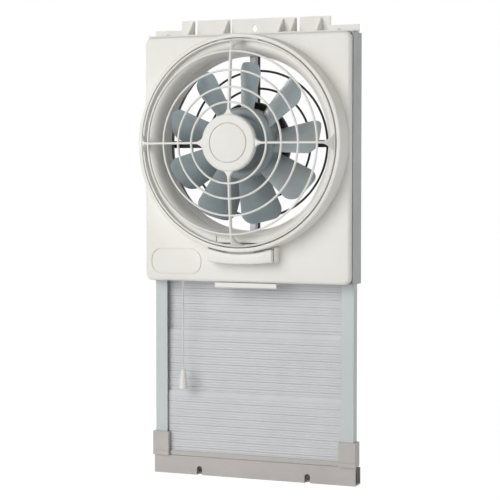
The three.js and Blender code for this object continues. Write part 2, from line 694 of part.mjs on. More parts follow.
function topFlange() {
  const { lowerTop, upperTop, upperHalf, plateFront, wall } = FLANGE;
  const half = PANEL.width / 2;
  const shelfBottom = PANEL_TOP + 0.7;
  const shelfTop = shelfBottom + wall;
  const outline = new THREE.Shape();
  outline.moveTo(-half, shelfBottom);
  outline.lineTo(half, shelfBottom);
  outline.lineTo(half, lowerTop);
  outline.lineTo(upperHalf, lowerTop);
  outline.lineTo(upperHalf, upperTop);
  outline.lineTo(-upperHalf, upperTop);
  outline.lineTo(-upperHalf, lowerTop);
  outline.lineTo(-half, lowerTop);
  const keyhole = new THREE.Path();
  keyhole.moveTo(KEYHOLE.x + KEYHOLE.radius * 0.8, KEYHOLE.low + KEYHOLE.radius * 1.6);
  keyhole.lineTo(KEYHOLE.x, KEYHOLE.tip);
  keyhole.lineTo(KEYHOLE.x - KEYHOLE.radius * 0.8, KEYHOLE.low + KEYHOLE.radius * 1.6);
  keyhole.absarc(
    KEYHOLE.x, KEYHOLE.low + KEYHOLE.radius, KEYHOLE.radius, Math.PI * 0.79, Math.PI * 2.21,
  );
  outline.holes.push(keyhole);
  const upright = plate(outline, plateFront, plateFront + wall, 8);
  const shelf = block([-half, 15, shelfBottom], [half, plateFront + 1, shelfTop]);
  const slots = FLANGE_SLOTS.map(({ x, width }) => block(
    [x - width / 2, plateFront - 2, shelfTop + 1.2], [x + width / 2, plateFront + 5, upperTop + 3],
  ));
  const gussets = GUSSETS.map((x) => bar(polygon([
    [17, shelfBottom + 1], [plateFront + 0.5, shelfBottom + 1], [plateFront + 0.5, upperTop - 1.5],
    [plateFront - 2, upperTop - 2.5],
  ]), x - 0.9, x + 0.9));
  const screwHoles = [-1, 1].map((side) => cylinderUpright(
    2, side * FLANGE_SCREW.x, FLANGE_SCREW.y, shelfBottom - 3, shelfTop + 3, 12,
  ));
  return cut(join(upright, shelf, ...gussets), ...slots, ...screwHoles);
}

// ---------------------------------------------------------------- window filler frame

function rail(side) {
  const { outer, width, front, depth, wall, bottom, top } = RAIL;
  const inner = outer - width;
  const shape = polygon([
    [inner, front], [outer, front], [outer, front + depth], [inner, front + depth],
    [inner, front + depth - wall], [outer - wall, front + depth - wall],
    [outer - wall, front + wall], [inner, front + wall],
  ].map(([across, back]) => [side * across, back]));
  return column(shape, bottom, top);
}

// An extruded filler board: flat ribs between narrow grooves, every third groove deeper, and
// a plain lip along the top that leans back.
function ribbedBoard({ front, bottom, top }) {
  const { halfWidth, thick, pitch, groove, deepGroove, lip, lean } = BOARD;
  const shape = new THREE.Shape();
  shape.moveTo(front + thick, bottom);
  shape.lineTo(front + thick, top);
  shape.lineTo(front + lean, top);
  shape.lineTo(front, top - lip);
  let count = 1;
  for (let level = top - lip - pitch; level > bottom + 1; level -= pitch) {
    const depth = count % 3 === 0 ? deepGroove : groove;
    shape.lineTo(front, level + 0.6);
    shape.lineTo(front + depth, level);
    shape.lineTo(front, level - 0.6);
    count += 1;
  }
  shape.lineTo(front, bottom);
  return bar(shape, -halfWidth, halfWidth);
}

function footBracket(side) {
  const { inner, outer, front, back, bottom, top } = FOOT;
  const body = block([inner, front, bottom], [outer, back, top]);
  const room = block(
    [RAIL.outer - RAIL.width - GAP, RAIL.front - GAP, bottom - 1],
    [RAIL.outer + GAP, RAIL.front + RAIL.depth + GAP, top + 1],
  );
  const boardRoom = block([inner - 1, 32.8, bottom - 1], [inner + 6, 44.2, top + 1]);
  const shadowLine = block([inner - 1, front - 1, bottom + 6.4], [outer + 1, front + 0.9, bottom + 7.6]);
  const geometry = cut(body, room, boardRoom, shadowLine);
  if (side > 0) {
    return geometry;
  }
  return mirrored(geometry);
}

function mirrored(geometry) {
  const solid = toSolid(geometry).mirror([1, 0, 0]);
  return toGeometry(solid);
}

function sillPlate() {
  const { halfWidth, front, back, plateTop, wall } = SILL;
  const grooveTop = plateTop + BAND.groove;
  const section = polygon([
    [front, 0], [back, 0], [back, BAND.top - 10], [back - wall, BAND.top - 10], [back - wall, wall],
    [front + wall, wall], [front + wall, plateTop - wall], [BAND.back, plateTop - wall],
    [BAND.back, BAND.top], [BAND.front, BAND.top], [BAND.front, grooveTop],
    [BAND.grooveBack, grooveTop], [BAND.grooveBack, plateTop], [front, plateTop],
  ]);
  const body = bar(section, -halfWidth, halfWidth);
  const cuts = [];
  for (const side of [-1, 1]) {
    const near = side * (FOOT.inner - 0.5);
    const far = side * (halfWidth + 2);
    cuts.push(block(
      [Math.min(near, far), front - 2, plateTop], [Math.max(near, far), back - wall - 1, BAND.top + 2],
    ));
    const notch = new THREE.Shape();
    const half = NOTCH.width / 2;
    const middle = side * NOTCH.offset;
    notch.moveTo(middle - half, -1);
    notch.lineTo(middle + half, -1);
    notch.lineTo(middle + half, NOTCH.height - half);
    notch.absarc(middle, NOTCH.height - half, half, 0, Math.PI);
    cuts.push(plate(notch, front - 2, front + wall + 6, 6));
  }
  return cut(body, ...cuts);
}

// ---------------------------------------------------------------- controls

// The band between two arcs about the fan's axis, with upright ends.
function arcBand(inner, outer, halfWidth) {
  const shape = new THREE.Shape();
  const middle = -Math.PI / 2;
  const outerSpread = Math.asin(halfWidth / outer);
  const innerSpread = Math.asin(halfWidth / inner);
  shape.absarc(0, AXIS_HEIGHT, outer, middle - outerSpread, middle + outerSpread);
  shape.absarc(0, AXIS_HEIGHT, inner, middle + innerSpread, middle - innerSpread, true);
  return shape;
}

function releaseTab() {
  const { inner, outer, halfWidth, front, back, wall } = TAB;
  const { low, high } = TAB_ARM;
  const shell = plate(arcBand(inner, outer, halfWidth), front, back, 8);
  const hollow = plate(arcBand(inner - 3, outer - wall, halfWidth - wall), front + wall, back + 1, 8);
  const tongueTop = AXIS_HEIGHT - RIM.inner - 6.6;
  const bottom = AXIS_HEIGHT - outer;
  const tongue = block([-22, -18, bottom + 2], [22, -15.4, tongueTop]);
  const side = TAB_ARM.halfWidth;
  const arm = block([-side, -17, low], [side, 16, high]);
  const pad = block([-side, 13, bottom + 1], [side, 27, high]);
  return join(cut(shell, hollow), tongue, arm, pad);
}

function latchSpring() {
  const turns = 4;
  const stepsPerTurn = 8;
  const low = PANEL.bottom + HOUSING.wall + 0.9;
  const high = AXIS_HEIGHT - TAB.outer + 1 - 0.9;
  const points = [];
  for (let step = 0; step <= turns * stepsPerTurn; step += 1) {
    const angle = step / stepsPerTurn * 2 * Math.PI;
    const height = low + (high - low) * step / (turns * stepsPerTurn);
    points.push(new THREE.Vector3(4 * Math.cos(angle), 20.5 + 4 * Math.sin(angle), height));
  }
  const section = polygon(Array.from({ length: 5 }, (unused, corner) => {
    const angle = corner / 5 * 2 * Math.PI;
    return [0.5 * Math.cos(angle), 0.5 * Math.sin(angle)];
  }));
  const leastGap = (high - low) / turns - 1;
  console.log(`latch spring: least gap between turns ${leastGap.toFixed(2)} mm`);
  return new THREE.ExtrudeGeometry(section, {
    steps: turns * stepsPerTurn, bevelEnabled: false, extrudePath: new THREE.CatmullRomCurve3(points),
  });
}

function gripBar() {
  const { halfWidth, front, depth, top, height } = GRIP;
  const section = new THREE.Shape();
  section.moveTo(front + 1.5, top);
  section.lineTo(front + depth, top);
  section.lineTo(front + depth, top - 2.4);
  section.lineTo(front + 3.2, top - 2.4);
  section.lineTo(front + 3.2, top - height);
  section.quadraticCurveTo(front, top - height, front, top - height + 2);
  section.lineTo(front, top - 1.5);
  section.quadraticCurveTo(front, top, front + 1.5, top);
  return bar(section, -halfWidth, halfWidth, 3);
}

function cordBush() {
  const outline = [
    [1.5, 302.6], [5, 302.6], [5, 305.2], [2.2, 305.2], [2.2, 309.5], [1.5, 309.5],
  ];
  return revolve(closed(outline), 12).rotateX(Math.PI / 2).translate(CORD.x, CORD.depth, 0);
}

function pullKnob() {
  const { top, height, topRadius, bottomRadius } = KNOB;
  const outline = [
    [0, top - height], [bottomRadius - 1.6, top - height], [bottomRadius, top - height + 1.6],
    [topRadius, top - 2], [topRadius - 1, top], [0, top],
  ];
  const body = revolve(outline, ROUND.small).rotateX(Math.PI / 2);
  const flutes = [];
  const fluteCount = 6;
  for (let index = 0; index < fluteCount; index += 1) {
    const flute = new THREE.CylinderGeometry(1.1, 1.1, height * 1.2, 4);
    const lean = Math.atan2(bottomRadius - topRadius, height);
    const reach = (topRadius + bottomRadius) / 2 + 0.65;
    flute.rotateX(Math.PI / 2 + lean).translate(0, -reach, top - height / 2);
    flutes.push(flute.rotateZ(index * 2 * Math.PI / fluteCount));
  }
  return cut(body, ...flutes).translate(CORD.x, CORD.depth, 0);
}

function straightCord(bottom, top, steps) {
  const points = [];
  for (let step = 0; step <= steps; step += 1) {
    points.push(new THREE.Vector3(CORD.x, CORD.depth, bottom + (top - bottom) * step / steps));
  }
  const section = polygon(Array.from({ length: 8 }, (unused, corner) => {
    const angle = corner / 8 * 2 * Math.PI;
    return [CORD.radius * Math.cos(angle), CORD.radius * Math.sin(angle)];
  }));
  return new THREE.ExtrudeGeometry(section, {
    steps, bevelEnabled: false, extrudePath: new THREE.CatmullRomCurve3(points),
  });
}

function switchBox() {
  const { low, high, front, back, halfWidth } = SWITCH;
  const x = CORD.x;
  const body = block([x - halfWidth, front - 5, low], [x + halfWidth, back, high]);
  const slot = block([x - 4, front - 6, low - 1], [x + 4, front + 2, high - 4]);
  const lugs = [low + 6, high - 6].map((z) => block(
    [x + halfWidth - 1, front, z - 2.5], [x + halfWidth + 7, front + 2, z + 2.5],
  ));
  return cut(join(body, ...lugs), slot);
}

// The slide that the cord pulls down, with the narrow eye that the cord's lead is tied to.
function switchStem() {
  const { halfWidth, front, back, low } = SLIDE;
  const x = CORD.x;
  const slide = block([x - halfWidth, front, low], [x + halfWidth, back, SWITCH.high - 4.5]);
  const eye = block([x - EYE.halfWidth, front, EYE.low], [x + EYE.halfWidth, EYE.back, low + 0.5]);
  return join(slide, eye);
}

function capacitor() {
  const { x, y, z, radius, length, strapRadius, strapWidth } = CAPACITOR;
  const can = new THREE.CylinderGeometry(radius, radius, length, ROUND.small);
  const strap = new THREE.CylinderGeometry(strapRadius, strapRadius, strapWidth, ROUND.small);
  return join(can.rotateZ(Math.PI / 2), strap.rotateZ(Math.PI / 2)).translate(x, y, z);
}

// ---------------------------------------------------------------- assembly

const unit = new THREE.Group();
unit.position.y = -SILL_MIDDLE_DEPTH;

function add(name, geometry, material) {
  const mesh = new THREE.Mesh(geometry, material);
  mesh.name = name;
  unit.add(mesh);
  return mesh;
}

add('front_panel', frontPanel(), ivory);
add('main_frame', mainFrame(), ivory);
add('housing', housing(), housingGrey);
add('grip_bar', gripBar(), ivory);
add('front_guard', frontGuard(), ivory);
add('guard_cap_disc', capDisc(), ivoryDisc);
add('release_tab', releaseTab(), ivory);
add('latch_spring', latchSpring(), screwSteel);

add('rotor', rotor(), bladeGrey);
add('rotor_nut', rotorNut(), bladeGrey);
add('motor_shaft', shaft(), screwSteel);
add('motor_shell', motorShell(), motorBlack);
add('motor_rear_bell', motorRearBell(), motorBlack);
add('motor_bracket', motorBracket(), bracketSteel);
bracketScrewHeights().forEach((z, index) => {
  const mesh = add(`bracket_screw_${['top', 'bottom'][index]}`, screw(5), screwSteel);
  mesh.position.set(0, HOUSING.back - HOUSING.wall - GAP - 2 - GAP, z);
});

add('rear_guard', rearGuard(), guardBlack);
rearScrewPlaces().forEach(([x, z], index) => {
  const corner = ['top_left', 'top_right', 'bottom_right', 'bottom_left'][index];
  const mesh = add(`rear_guard_screw_${corner}`, screw(6), screwSteel);
  mesh.rotation.z = Math.PI;
  mesh.position.set(x, REAR_GUARD.front + 4.4 + GAP, z);
});

add('top_flange', topFlange(), ivory);
for (const [label, side] of [['left', -1], ['right', 1]]) {
  const flangeScrew = add(`flange_screw_${label}`, screw(5), screwSteel);
  flangeScrew.rotation.x = -Math.PI / 2;
  flangeScrew.position.set(side * FLANGE_SCREW.x, FLANGE_SCREW.y, PANEL_TOP + 0.7 + FLANGE.wall + GAP);
  const heightScrew = add(`height_screw_${label}`, thumbScrew(), switchBlack);
  heightScrew.position.set(side * HEIGHT_SCREW.x, 0, HEIGHT_SCREW.z);
  add(`${label}_rail`, rail(side), railGrey);
  add(`${label}_foot_bracket`, footBracket(side), sillGrey);
}
add('upper_board', ribbedBoard(UPPER_BOARD), boardGrey);
add('middle_board', ribbedBoard(MIDDLE_BOARD), boardGrey);
add('lower_board', ribbedBoard(LOWER_BOARD), boardGrey);
add('sill_plate', sillPlate(), sillGrey);

add('switch_box', switchBox(), switchBlack);
add('switch_stem', switchStem(), cordWhite);
add('capacitor', capacitor(), switchBlack);
add('cord_bush', cordBush(), ivory);
add('cord_lead', straightCord(CORD.top + 0.2, SWITCH.low + 11.7, 6), cordWhite);
add('pull_cord', straightCord(CORD.bottom, CORD.top, 22), cordWhite);
add('pull_knob', pullKnob(), cordWhite);

export default unit;
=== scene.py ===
from math import ceil, cos, hypot, pi, radians, sin, sqrt

import bmesh
import bpy
from mathutils import Matrix, Vector


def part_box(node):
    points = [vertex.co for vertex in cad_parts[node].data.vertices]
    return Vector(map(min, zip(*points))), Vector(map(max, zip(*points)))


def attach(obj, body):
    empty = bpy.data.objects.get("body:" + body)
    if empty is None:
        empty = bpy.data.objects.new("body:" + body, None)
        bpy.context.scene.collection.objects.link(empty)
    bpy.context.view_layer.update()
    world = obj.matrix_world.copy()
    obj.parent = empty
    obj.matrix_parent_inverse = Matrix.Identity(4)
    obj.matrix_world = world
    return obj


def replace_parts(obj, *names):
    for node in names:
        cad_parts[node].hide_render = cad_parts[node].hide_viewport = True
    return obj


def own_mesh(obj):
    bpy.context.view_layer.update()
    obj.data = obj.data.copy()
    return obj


bl_info = {
    "name": "Window exhaust fan",
    "version": (1, 0, 0),
    "blender": (4, 5, 0),
    "location": "3D View > Sidebar > Window Fan",
    "description": "Fine pieces, finishes and a plain studio for a window exhaust fan",
    "category": "Object",
}

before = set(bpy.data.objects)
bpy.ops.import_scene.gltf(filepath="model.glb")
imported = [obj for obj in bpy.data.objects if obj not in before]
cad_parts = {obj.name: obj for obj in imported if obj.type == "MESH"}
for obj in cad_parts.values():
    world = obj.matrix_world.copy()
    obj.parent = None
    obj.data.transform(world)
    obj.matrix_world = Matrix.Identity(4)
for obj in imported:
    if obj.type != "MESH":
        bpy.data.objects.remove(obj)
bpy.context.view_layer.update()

# Sizes below are millimetres. Depths run backwards from the front panel's face,
# and radii are measured from the fan's axis.
MM = 0.001
PANEL_DEPTH = 8.0
FACE_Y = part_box("front_panel")[1].y - PANEL_DEPTH * MM
CAP_LOW, CAP_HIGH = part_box("guard_cap_disc")
AXIS = (CAP_LOW.z + CAP_HIGH.z) / 2 / MM
# Steps round the turned pieces: the mouth and guard, the rear guard's rings, the hub,
# the cap and motor, the bush.
ROUND, ROUND_REAR, ROUND_HUB, ROUND_CAP, ROUND_BUSH = 168, 144, 120, 96, 48


def linear(code):
    """A screen colour such as 0xF0EFE9 as Blender's linear red, green and blue."""
    shares = [(code >> shift & 255) / 255 for shift in (16, 8, 0)]
    return tuple(s / 12.92 if s <= 0.04045 else ((s + 0.055) / 1.055) ** 2.4 for s in shares)


def circle(steps):
    """The cosine and the sine of each step round a circle."""
    turns = [2 * pi * step / steps for step in range(steps)]
    return [(cos(turn), sin(turn)) for turn in turns]


def traced(*stretches):
    """An outline through points, and along curves given as (control, end, steps)."""
    outline = []
    for stretch in stretches:
        if len(stretch) == 2:
            outline.append(stretch)
            continue
        start, (control, end, steps) = outline[-1], stretch
        for t in [step / steps for step in range(1, steps + 1)]:
            outline.append(tuple(
                (1 - t) ** 2 * a + 2 * t * (1 - t) * b + t * t * c
                for a, b, c in zip(start, control, end)
            ))
    return outline


def rounded_rectangle(width, height, corner, x=0.0, z=0.0, steps=8):
    """The outline of a plate with round corners, as points of x and z."""
    outline = []
    for turn, (right, up) in enumerate(((1, 1), (-1, 1), (-1, -1), (1, -1))):
        middle_x = x + right * (width / 2 - corner)
        middle_z = z + up * (height / 2 - corner)
        for step in range(steps + 1):
            angle = radians(90 * (turn + step / steps))
            outline.append((
                middle_x + corner * cos(angle), middle_z + corner * sin(angle)))
    return outline


def new_object(name, data, context):
    """An object in the scene."""
    made = bpy.data.objects.new(name, data)
    context.scene.collection.objects.link(made)
    return made


class Mould:
    """Gathers the faces of one piece in millimetres, and makes the object from them."""

    def __init__(self):
        self.mesh = bmesh.new()

    def rings(self, rings, closed=False):
        """Joins outlines of as many points each into a skin, shut at both ends or in a loop."""
        rows = [[self.mesh.verts.new(point) for point in ring] for ring in rings]
        self._strips(rows if closed else rows[:-1], rows[1:] + rows[:1], len(rows[0]))
        if not closed:
            self.mesh.faces.new(list(reversed(rows[0])))
            self.mesh.faces.new(rows[-1])
        return self

    def turned(self, outline, steps=ROUND, ring=True):
        """Turns an outline of radius and depth round the fan's axis."""
        return self._round(steps, ring, lambda cosine, sine: [
            (radius * sine, depth, AXIS + radius * cosine) for radius, depth in outline])

    def upright(self, outline, x, depth, steps):
        """Turns an outline of radius and height round an upright axis."""
        return self._round(steps, True, lambda cosine, sine: [
            (x + radius * cosine, depth + radius * sine, height) for radius, height in outline])

    def _round(self, steps, ring, place):
        """Sweeps the points that place gives for each cosine and sine of a full turn."""
        rows = [[self.mesh.verts.new(p) for p in place(*turn)] for turn in circle(steps)]
        self._strips(rows, rows[1:] + rows[:1], len(rows[0]) if ring else len(rows[0]) - 1)
        return self

    def _strips(self, rows, following_rows, last):
        """Fills the faces between each row of corners and the row that follows it."""
        for row, following in zip(rows, following_rows):
            for here in range(last):
                there = (here + 1) % len(row)
                self.mesh.faces.new((row[here], row[there], following[there], following[here]))

    def block(self, low, high):
        """A plain block between two corners, as a part of a piece or a cutter."""
        corners = [(low[0], low[2]), (high[0], low[2]), (high[0], high[2]), (low[0], high[2])]
        return self.rings([[(x, depth, z) for x, z in corners] for depth in (low[1], high[1])])

    def turn(self, degrees):
        """Turns what is gathered so far about the fan's axis, clockwise from the room."""
        bmesh.ops.rotate(
            self.mesh, verts=self.mesh.verts, cent=(0, 0, AXIS),
            matrix=Matrix.Rotation(radians(degrees), 3, "Y"),
        )
        return self

    def add(self, other):
        """Takes over the faces of another mould."""
        data = bpy.data.meshes.new("part")
        other.mesh.to_mesh(data)
        self.mesh.from_mesh(data)
        bpy.data.meshes.remove(data)
        return self

    def loose(self, name):
        """The object by itself, riding on nothing yet."""
        bmesh.ops.remove_doubles(self.mesh, verts=self.mesh.verts, dist=1e-3)
        bmesh.ops.recalc_face_normals(self.mesh, faces=self.mesh.faces)
        self.mesh.transform(Matrix.Translation((0, FACE_Y, 0)) @ Matrix.Scale(MM, 4))
        data = bpy.data.meshes.new(name)
        self.mesh.to_mesh(data)
        self.mesh.free()
        return new_object(name, data, bpy.context)

    def piece(self, name, body, slot, cutters=(), corner=35.0, soften=0.0):
        """The piece on its body, cut by cutters, with the finish of its slot."""
        piece = self.loose(name)
        if cutters:
            carve(piece, cutters)
        piece.data.materials.clear()
        piece.data.materials.append(FINISHES[slot])
        shade(piece, corner)
        if soften:
            soften_edges(piece, soften)
        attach(piece, body)
        return piece


def carve(piece, cutters):
    """Takes the cutters' shapes out of a piece, and removes the cutters."""
    for shape in cutters:
        cut = piece.modifiers.new("cut", "BOOLEAN")
        cut.operation = "DIFFERENCE"
        cut.solver = "EXACT"
        cut.object = shape
    view = bpy.context.evaluated_depsgraph_get()
    data = bpy.data.meshes.new_from_object(piece.evaluated_get(view))
    piece.modifiers.clear()
    piece.data = data
    for shape in cutters:
        bpy.data.objects.remove(shape, do_unlink=True)


def cutter(low, high):
    """A block that only cuts."""
    return Mould().block(low, high).loose("cutter")


def shade(piece, corner):
    """Shades a piece as smooth wherever it bends by less than the corner's degrees."""
    piece.data.polygons.foreach_set("use_smooth", [True] * len(piece.data.polygons))
    piece.data.set_sharp_from_angle(angle=radians(corner))


SOFT_ANGLE, SOFT_STEPS = 40, 2      # which edges are rounded, in degrees, and how finely


def soften_edges(piece, width):
    """Rounds the sharp edges of a piece by a width in millimetres."""
    bevel = piece.modifiers.new("soft edges", "BEVEL")
    bevel.width = width * MM
    bevel.segments = SOFT_STEPS
    bevel.limit_method = "ANGLE"
    bevel.angle_limit = radians(SOFT_ANGLE)
    bevel.harden_normals = True


# ---- shared effects

VECTOR, COLOUR, NUMBER = "NodeSocketVector", "NodeSocketColor", "NodeSocketFloat"
MIX_A, MIX_B, MIX_RESULT = 6, 7, 2      # a mix node's sockets for colours


class Nodes:
    """A node tree being built, with short calls for what repeats."""

    def __init__(self, tree):
        self.tree = tree

    def feed(self, value, socket):
        """Links a value that is itself a socket to a socket, or else writes it in."""
        if hasattr(value, "is_linked"):
            self.tree.links.new(value, socket)
        else:
            socket.default_value = value

    def node(self, kind, inputs=None, **settings):
        """A new node with its settings and what goes into its sockets."""
        made = self.tree.nodes.new(kind)
        for key, value in settings.items():
            setattr(made, key, value)
        for key, value in (inputs or {}).items():
            self.feed(value, made.inputs[key])
        return made

    def noise(self, where, scale, detail=3.0, rough=0.5):
        return self.node("ShaderNodeTexNoise", {
            "Vector": where, "Scale": scale, "Detail": detail, "Roughness": rough,
        }).outputs["Fac"]

    def ramp(self, value, low, high, out_low=0.0, out_high=1.0):
        """Spreads a value between low and high over out_low to out_high."""
        return self.node("ShaderNodeMapRange", {
            "Value": value, "From Min": low, "From Max": high,
            "To Min": out_low, "To Max": out_high,
        }).outputs["Result"]

    def maths(self, operation, a, b=0.0):
        return self.node("ShaderNodeMath", {0: a, 1: b}, operation=operation).outputs["Value"]

    def blend(self, share, a, b):
        """A mix of two colours."""
        return self.node("ShaderNodeMix", {
            "Factor": share, MIX_A: a, MIX_B: b}, data_type="RGBA").outputs[MIX_RESULT]

    def part(self, vector, axis):
        """One coordinate of a vector."""
        return self.node("ShaderNodeSeparateXYZ", {"Vector": vector}).outputs[axis]


class Effect(Nodes):
    """A shared effect: a shader node group with named sockets."""

    def __init__(self, name, inputs, *outputs):
        super().__init__(bpy.data.node_groups.new(name, "ShaderNodeTree"))
        socket = self.tree.interface.new_socket
        for label, default in {"Place": VECTOR, **inputs}.items():
            if default in (VECTOR, COLOUR):
                socket(name=label, in_out="INPUT", socket_type=default)
            else:
                made = socket(name=label, in_out="INPUT", socket_type=NUMBER)
                made.default_value = default
        for label in outputs:
            kind = COLOUR if label == "Colour" else NUMBER
            socket(name=label, in_out="OUTPUT", socket_type=kind)
        self.given = self.tree.nodes.new("NodeGroupInput").outputs
        self.result = self.tree.nodes.new("NodeGroupOutput").inputs


def moulded_grain():
    """The spark-eroded grain and faint flow of a moulded or painted skin."""
    effect = Effect("Moulded Grain", {
        "Grain Size": 2200.0, "Flow Size": 60.0, "Flow Share": 0.4}, "Height", "Tone")
    given = effect.given
    fine = effect.noise(given["Place"], given["Grain Size"], 2.0)
    flow = effect.noise(given["Place"], given["Flow Size"], 4.0, 0.6)
    share = effect.maths("MULTIPLY", flow, given["Flow Share"])
    effect.feed(effect.maths("ADD", fine, share), effect.result["Height"])
    tone = effect.maths("MULTIPLY", flow, effect.maths("ADD", fine, 0.5))
    effect.feed(tone, effect.result["Tone"])


def aged_colour():
    """A colour that drifts towards a second one in broad, soft patches."""
    effect = Effect("Aged Colour", {
        "Colour": COLOUR, "Aged": COLOUR, "Patch Size": 9.0, "Amount": 0.5}, "Colour")
    given = effect.given
    broad = effect.noise(given["Place"], given["Patch Size"], 5.0, 0.62)
    share = effect.maths("MULTIPLY", effect.ramp(broad, 0.32, 0.72), given["Amount"])
    effect.feed(effect.blend(share, given["Colour"], given["Aged"]), effect.result["Colour"])


def dust_film():
    """Fine dust that settles on what faces up, thin and broken up by a soft noise."""
    effect = Effect("Dust Film", {
        "Facing": VECTOR, "Colour": COLOUR, "Dust": COLOUR, "Amount": 0.3}, "Colour")
    given = effect.given
    upward = effect.ramp(effect.part(given["Facing"], "Z"), 0.1, 0.95)
    broken = effect.ramp(effect.noise(given["Place"], 140.0, 6.0, 0.7), 0.25, 0.75, 0.35, 1.0)
    mask = effect.maths("MULTIPLY", effect.maths("MULTIPLY", upward, broken), given["Amount"])
    effect.feed(effect.blend(mask, given["Colour"], given["Dust"]), effect.result["Colour"])


def drawn_streaks():
    """Long faint streaks along one way, left by drawing, rolling or extrusion."""
    effect = Effect("Drawn Streaks", {"Stretch": VECTOR}, "Height", "Tone")
    given = effect.given
    stretched = effect.node("ShaderNodeVectorMath", {
        0: given["Place"], 1: given["Stretch"]}, operation="MULTIPLY").outputs["Vector"]
    streak = effect.noise(stretched, 1.0, 5.0, 0.6)
    effect.feed(streak, effect.result["Height"])
    most = effect.maths("MULTIPLY", streak, 0.7)
    rest = effect.maths("MULTIPLY", effect.noise(given["Place"], 25.0), 0.3)
    effect.feed(effect.maths("ADD", most, rest), effect.result["Tone"])


def cord_twist():
    """The slanted strands of a thin twisted cord that hangs upright."""
    effect = Effect("Cord Twist", {"Strands": 900.0}, "Height")
    place = effect.given["Place"]
    slant = effect.maths("MULTIPLY", effect.part(place, "X"), 1.2)
    lean = effect.maths("ADD", effect.part(place, "Z"), slant)
    wave = effect.maths("SINE", effect.maths("MULTIPLY", lean, effect.given["Strands"]))
    effect.feed(effect.ramp(wave, -1.0, 1.0), effect.result["Height"])


SILL_STEP, STEP_BLUR = 28.4, 0.2     # where the sill's front plate ends and its band starts
TONE_LOW, TONE_HIGH = 0.2, 0.8       # the range of an effect's tone


class Finish(Nodes):
    """One material being built: its tree, its shader and where on the piece it is."""

    def __init__(self, name, roughness, metallic=0.0):
        self.material = bpy.data.materials.new(name)
        self.material.use_nodes = True
        super().__init__(self.material.node_tree)
        self.shader = self.tree.nodes["Principled BSDF"].inputs
        self.shader["Roughness"].default_value = roughness
        self.shader["Metallic"].default_value = metallic
        where = self.tree.nodes.new("ShaderNodeTexCoord").outputs
        self.place, self.facing = where["Object"], where["Normal"]

    def effect(self, group, **values):
        """Places a shared effect. A colour is a socket, a screen colour or linear values."""
        made = self.tree.nodes.new("ShaderNodeGroup")
        made.node_tree = bpy.data.node_groups[group]
        for label, value in values.items():
            socket = made.inputs[label.replace("_", " ").title()]
            if isinstance(value, int):
                value = linear(value)
            if socket.type == "RGBA" and not hasattr(value, "is_linked"):
                value = (*value, 1.0)
            self.feed(value, socket)
        self.feed(self.place, made.inputs["Place"])
        if "Facing" in made.inputs:
            self.feed(self.facing, made.inputs["Facing"])
        return made.outputs

    def colour(self, colour, aged, amount, patch_size=9.0, dust=None):
        """Gives the base colour: slow drift, and dust of a colour and an amount."""
        coat = self.effect(
            "Aged Colour", colour=colour, aged=aged, amount=amount, patch_size=patch_size)
        if dust:
            coat = self.effect("Dust Film", colour=coat["Colour"], dust=dust[0], amount=dust[1])
        self.feed(coat["Colour"], self.shader["Base Color"])

    def surface(self, effect, low, high, strength, distance):
        """Lets an effect's tone vary the roughness, and its height the surface."""
        self.feed(self.ramp(effect["Tone"], TONE_LOW, TONE_HIGH, low, high),
                  self.shader["Roughness"])
        self.bump(effect, strength, distance)

    def bump(self, effect, strength, distance):
        made = self.node("ShaderNodeBump", {
            "Strength": strength, "Distance": distance * MM, "Height": effect["Height"]})
        self.feed(made.outputs["Normal"], self.shader["Normal"])


def moulded_plastic(name, colour, aged, rough, grain=2200.0, depth=0.05, dust=0.25, patches=0.5):
    """Moulded plastic or smooth paint: fine grain, slow colour drift, dust on top."""
    finish = Finish(name, rough)
    skin = finish.effect("Moulded Grain", grain_size=grain)
    finish.colour(colour, aged, patches, dust=(0xB9B3A6, dust))
    finish.surface(skin, rough - 0.05, rough + 0.09, 0.35, depth)
    return finish.material


def drawn_plastic(name, colour, aged, rough, stretch, upper=None):
    """Extruded plastic: streaks along the way it left the die, and another colour higher up."""
    finish = Finish(name, rough)
    streaks = finish.effect("Drawn Streaks", stretch=stretch)
    if upper:
        low, high = (SILL_STEP - STEP_BLUR) * MM, (SILL_STEP + STEP_BLUR) * MM
        above = finish.ramp(finish.part(finish.place, "Z"), low, high)
        colour = finish.blend(above, (*colour, 1.0), (*linear(upper), 1.0))
    finish.colour(colour, aged, 0.3, 14.0, dust=(0xA9A59B, 0.25))
    finish.surface(streaks, rough - 0.08, rough + 0.1, 0.15, 0.03)
    return finish.material


def bright_steel(name, colour, aged, rough, stretch):
    """Zinc-plated steel: rolled streaks, a duller bloom in patches."""
    finish = Finish(name, rough, metallic=0.9)
    streaks = finish.effect("Drawn Streaks", stretch=stretch)
    finish.colour(colour, aged, 0.8, 60.0)
    finish.surface(streaks, rough - 0.1, rough + 0.15, 0.2, 0.03)
    return finish.material


def twisted_cord(name, colour, aged):
    """A matt cord with slanted strands."""
    finish = Finish(name, 0.8)
    twist = finish.effect("Cord Twist", strands=2600.0)
    finish.colour(colour, aged, 0.7, 80.0)
    finish.bump(twist, 0.8, 0.3)
    return finish.material


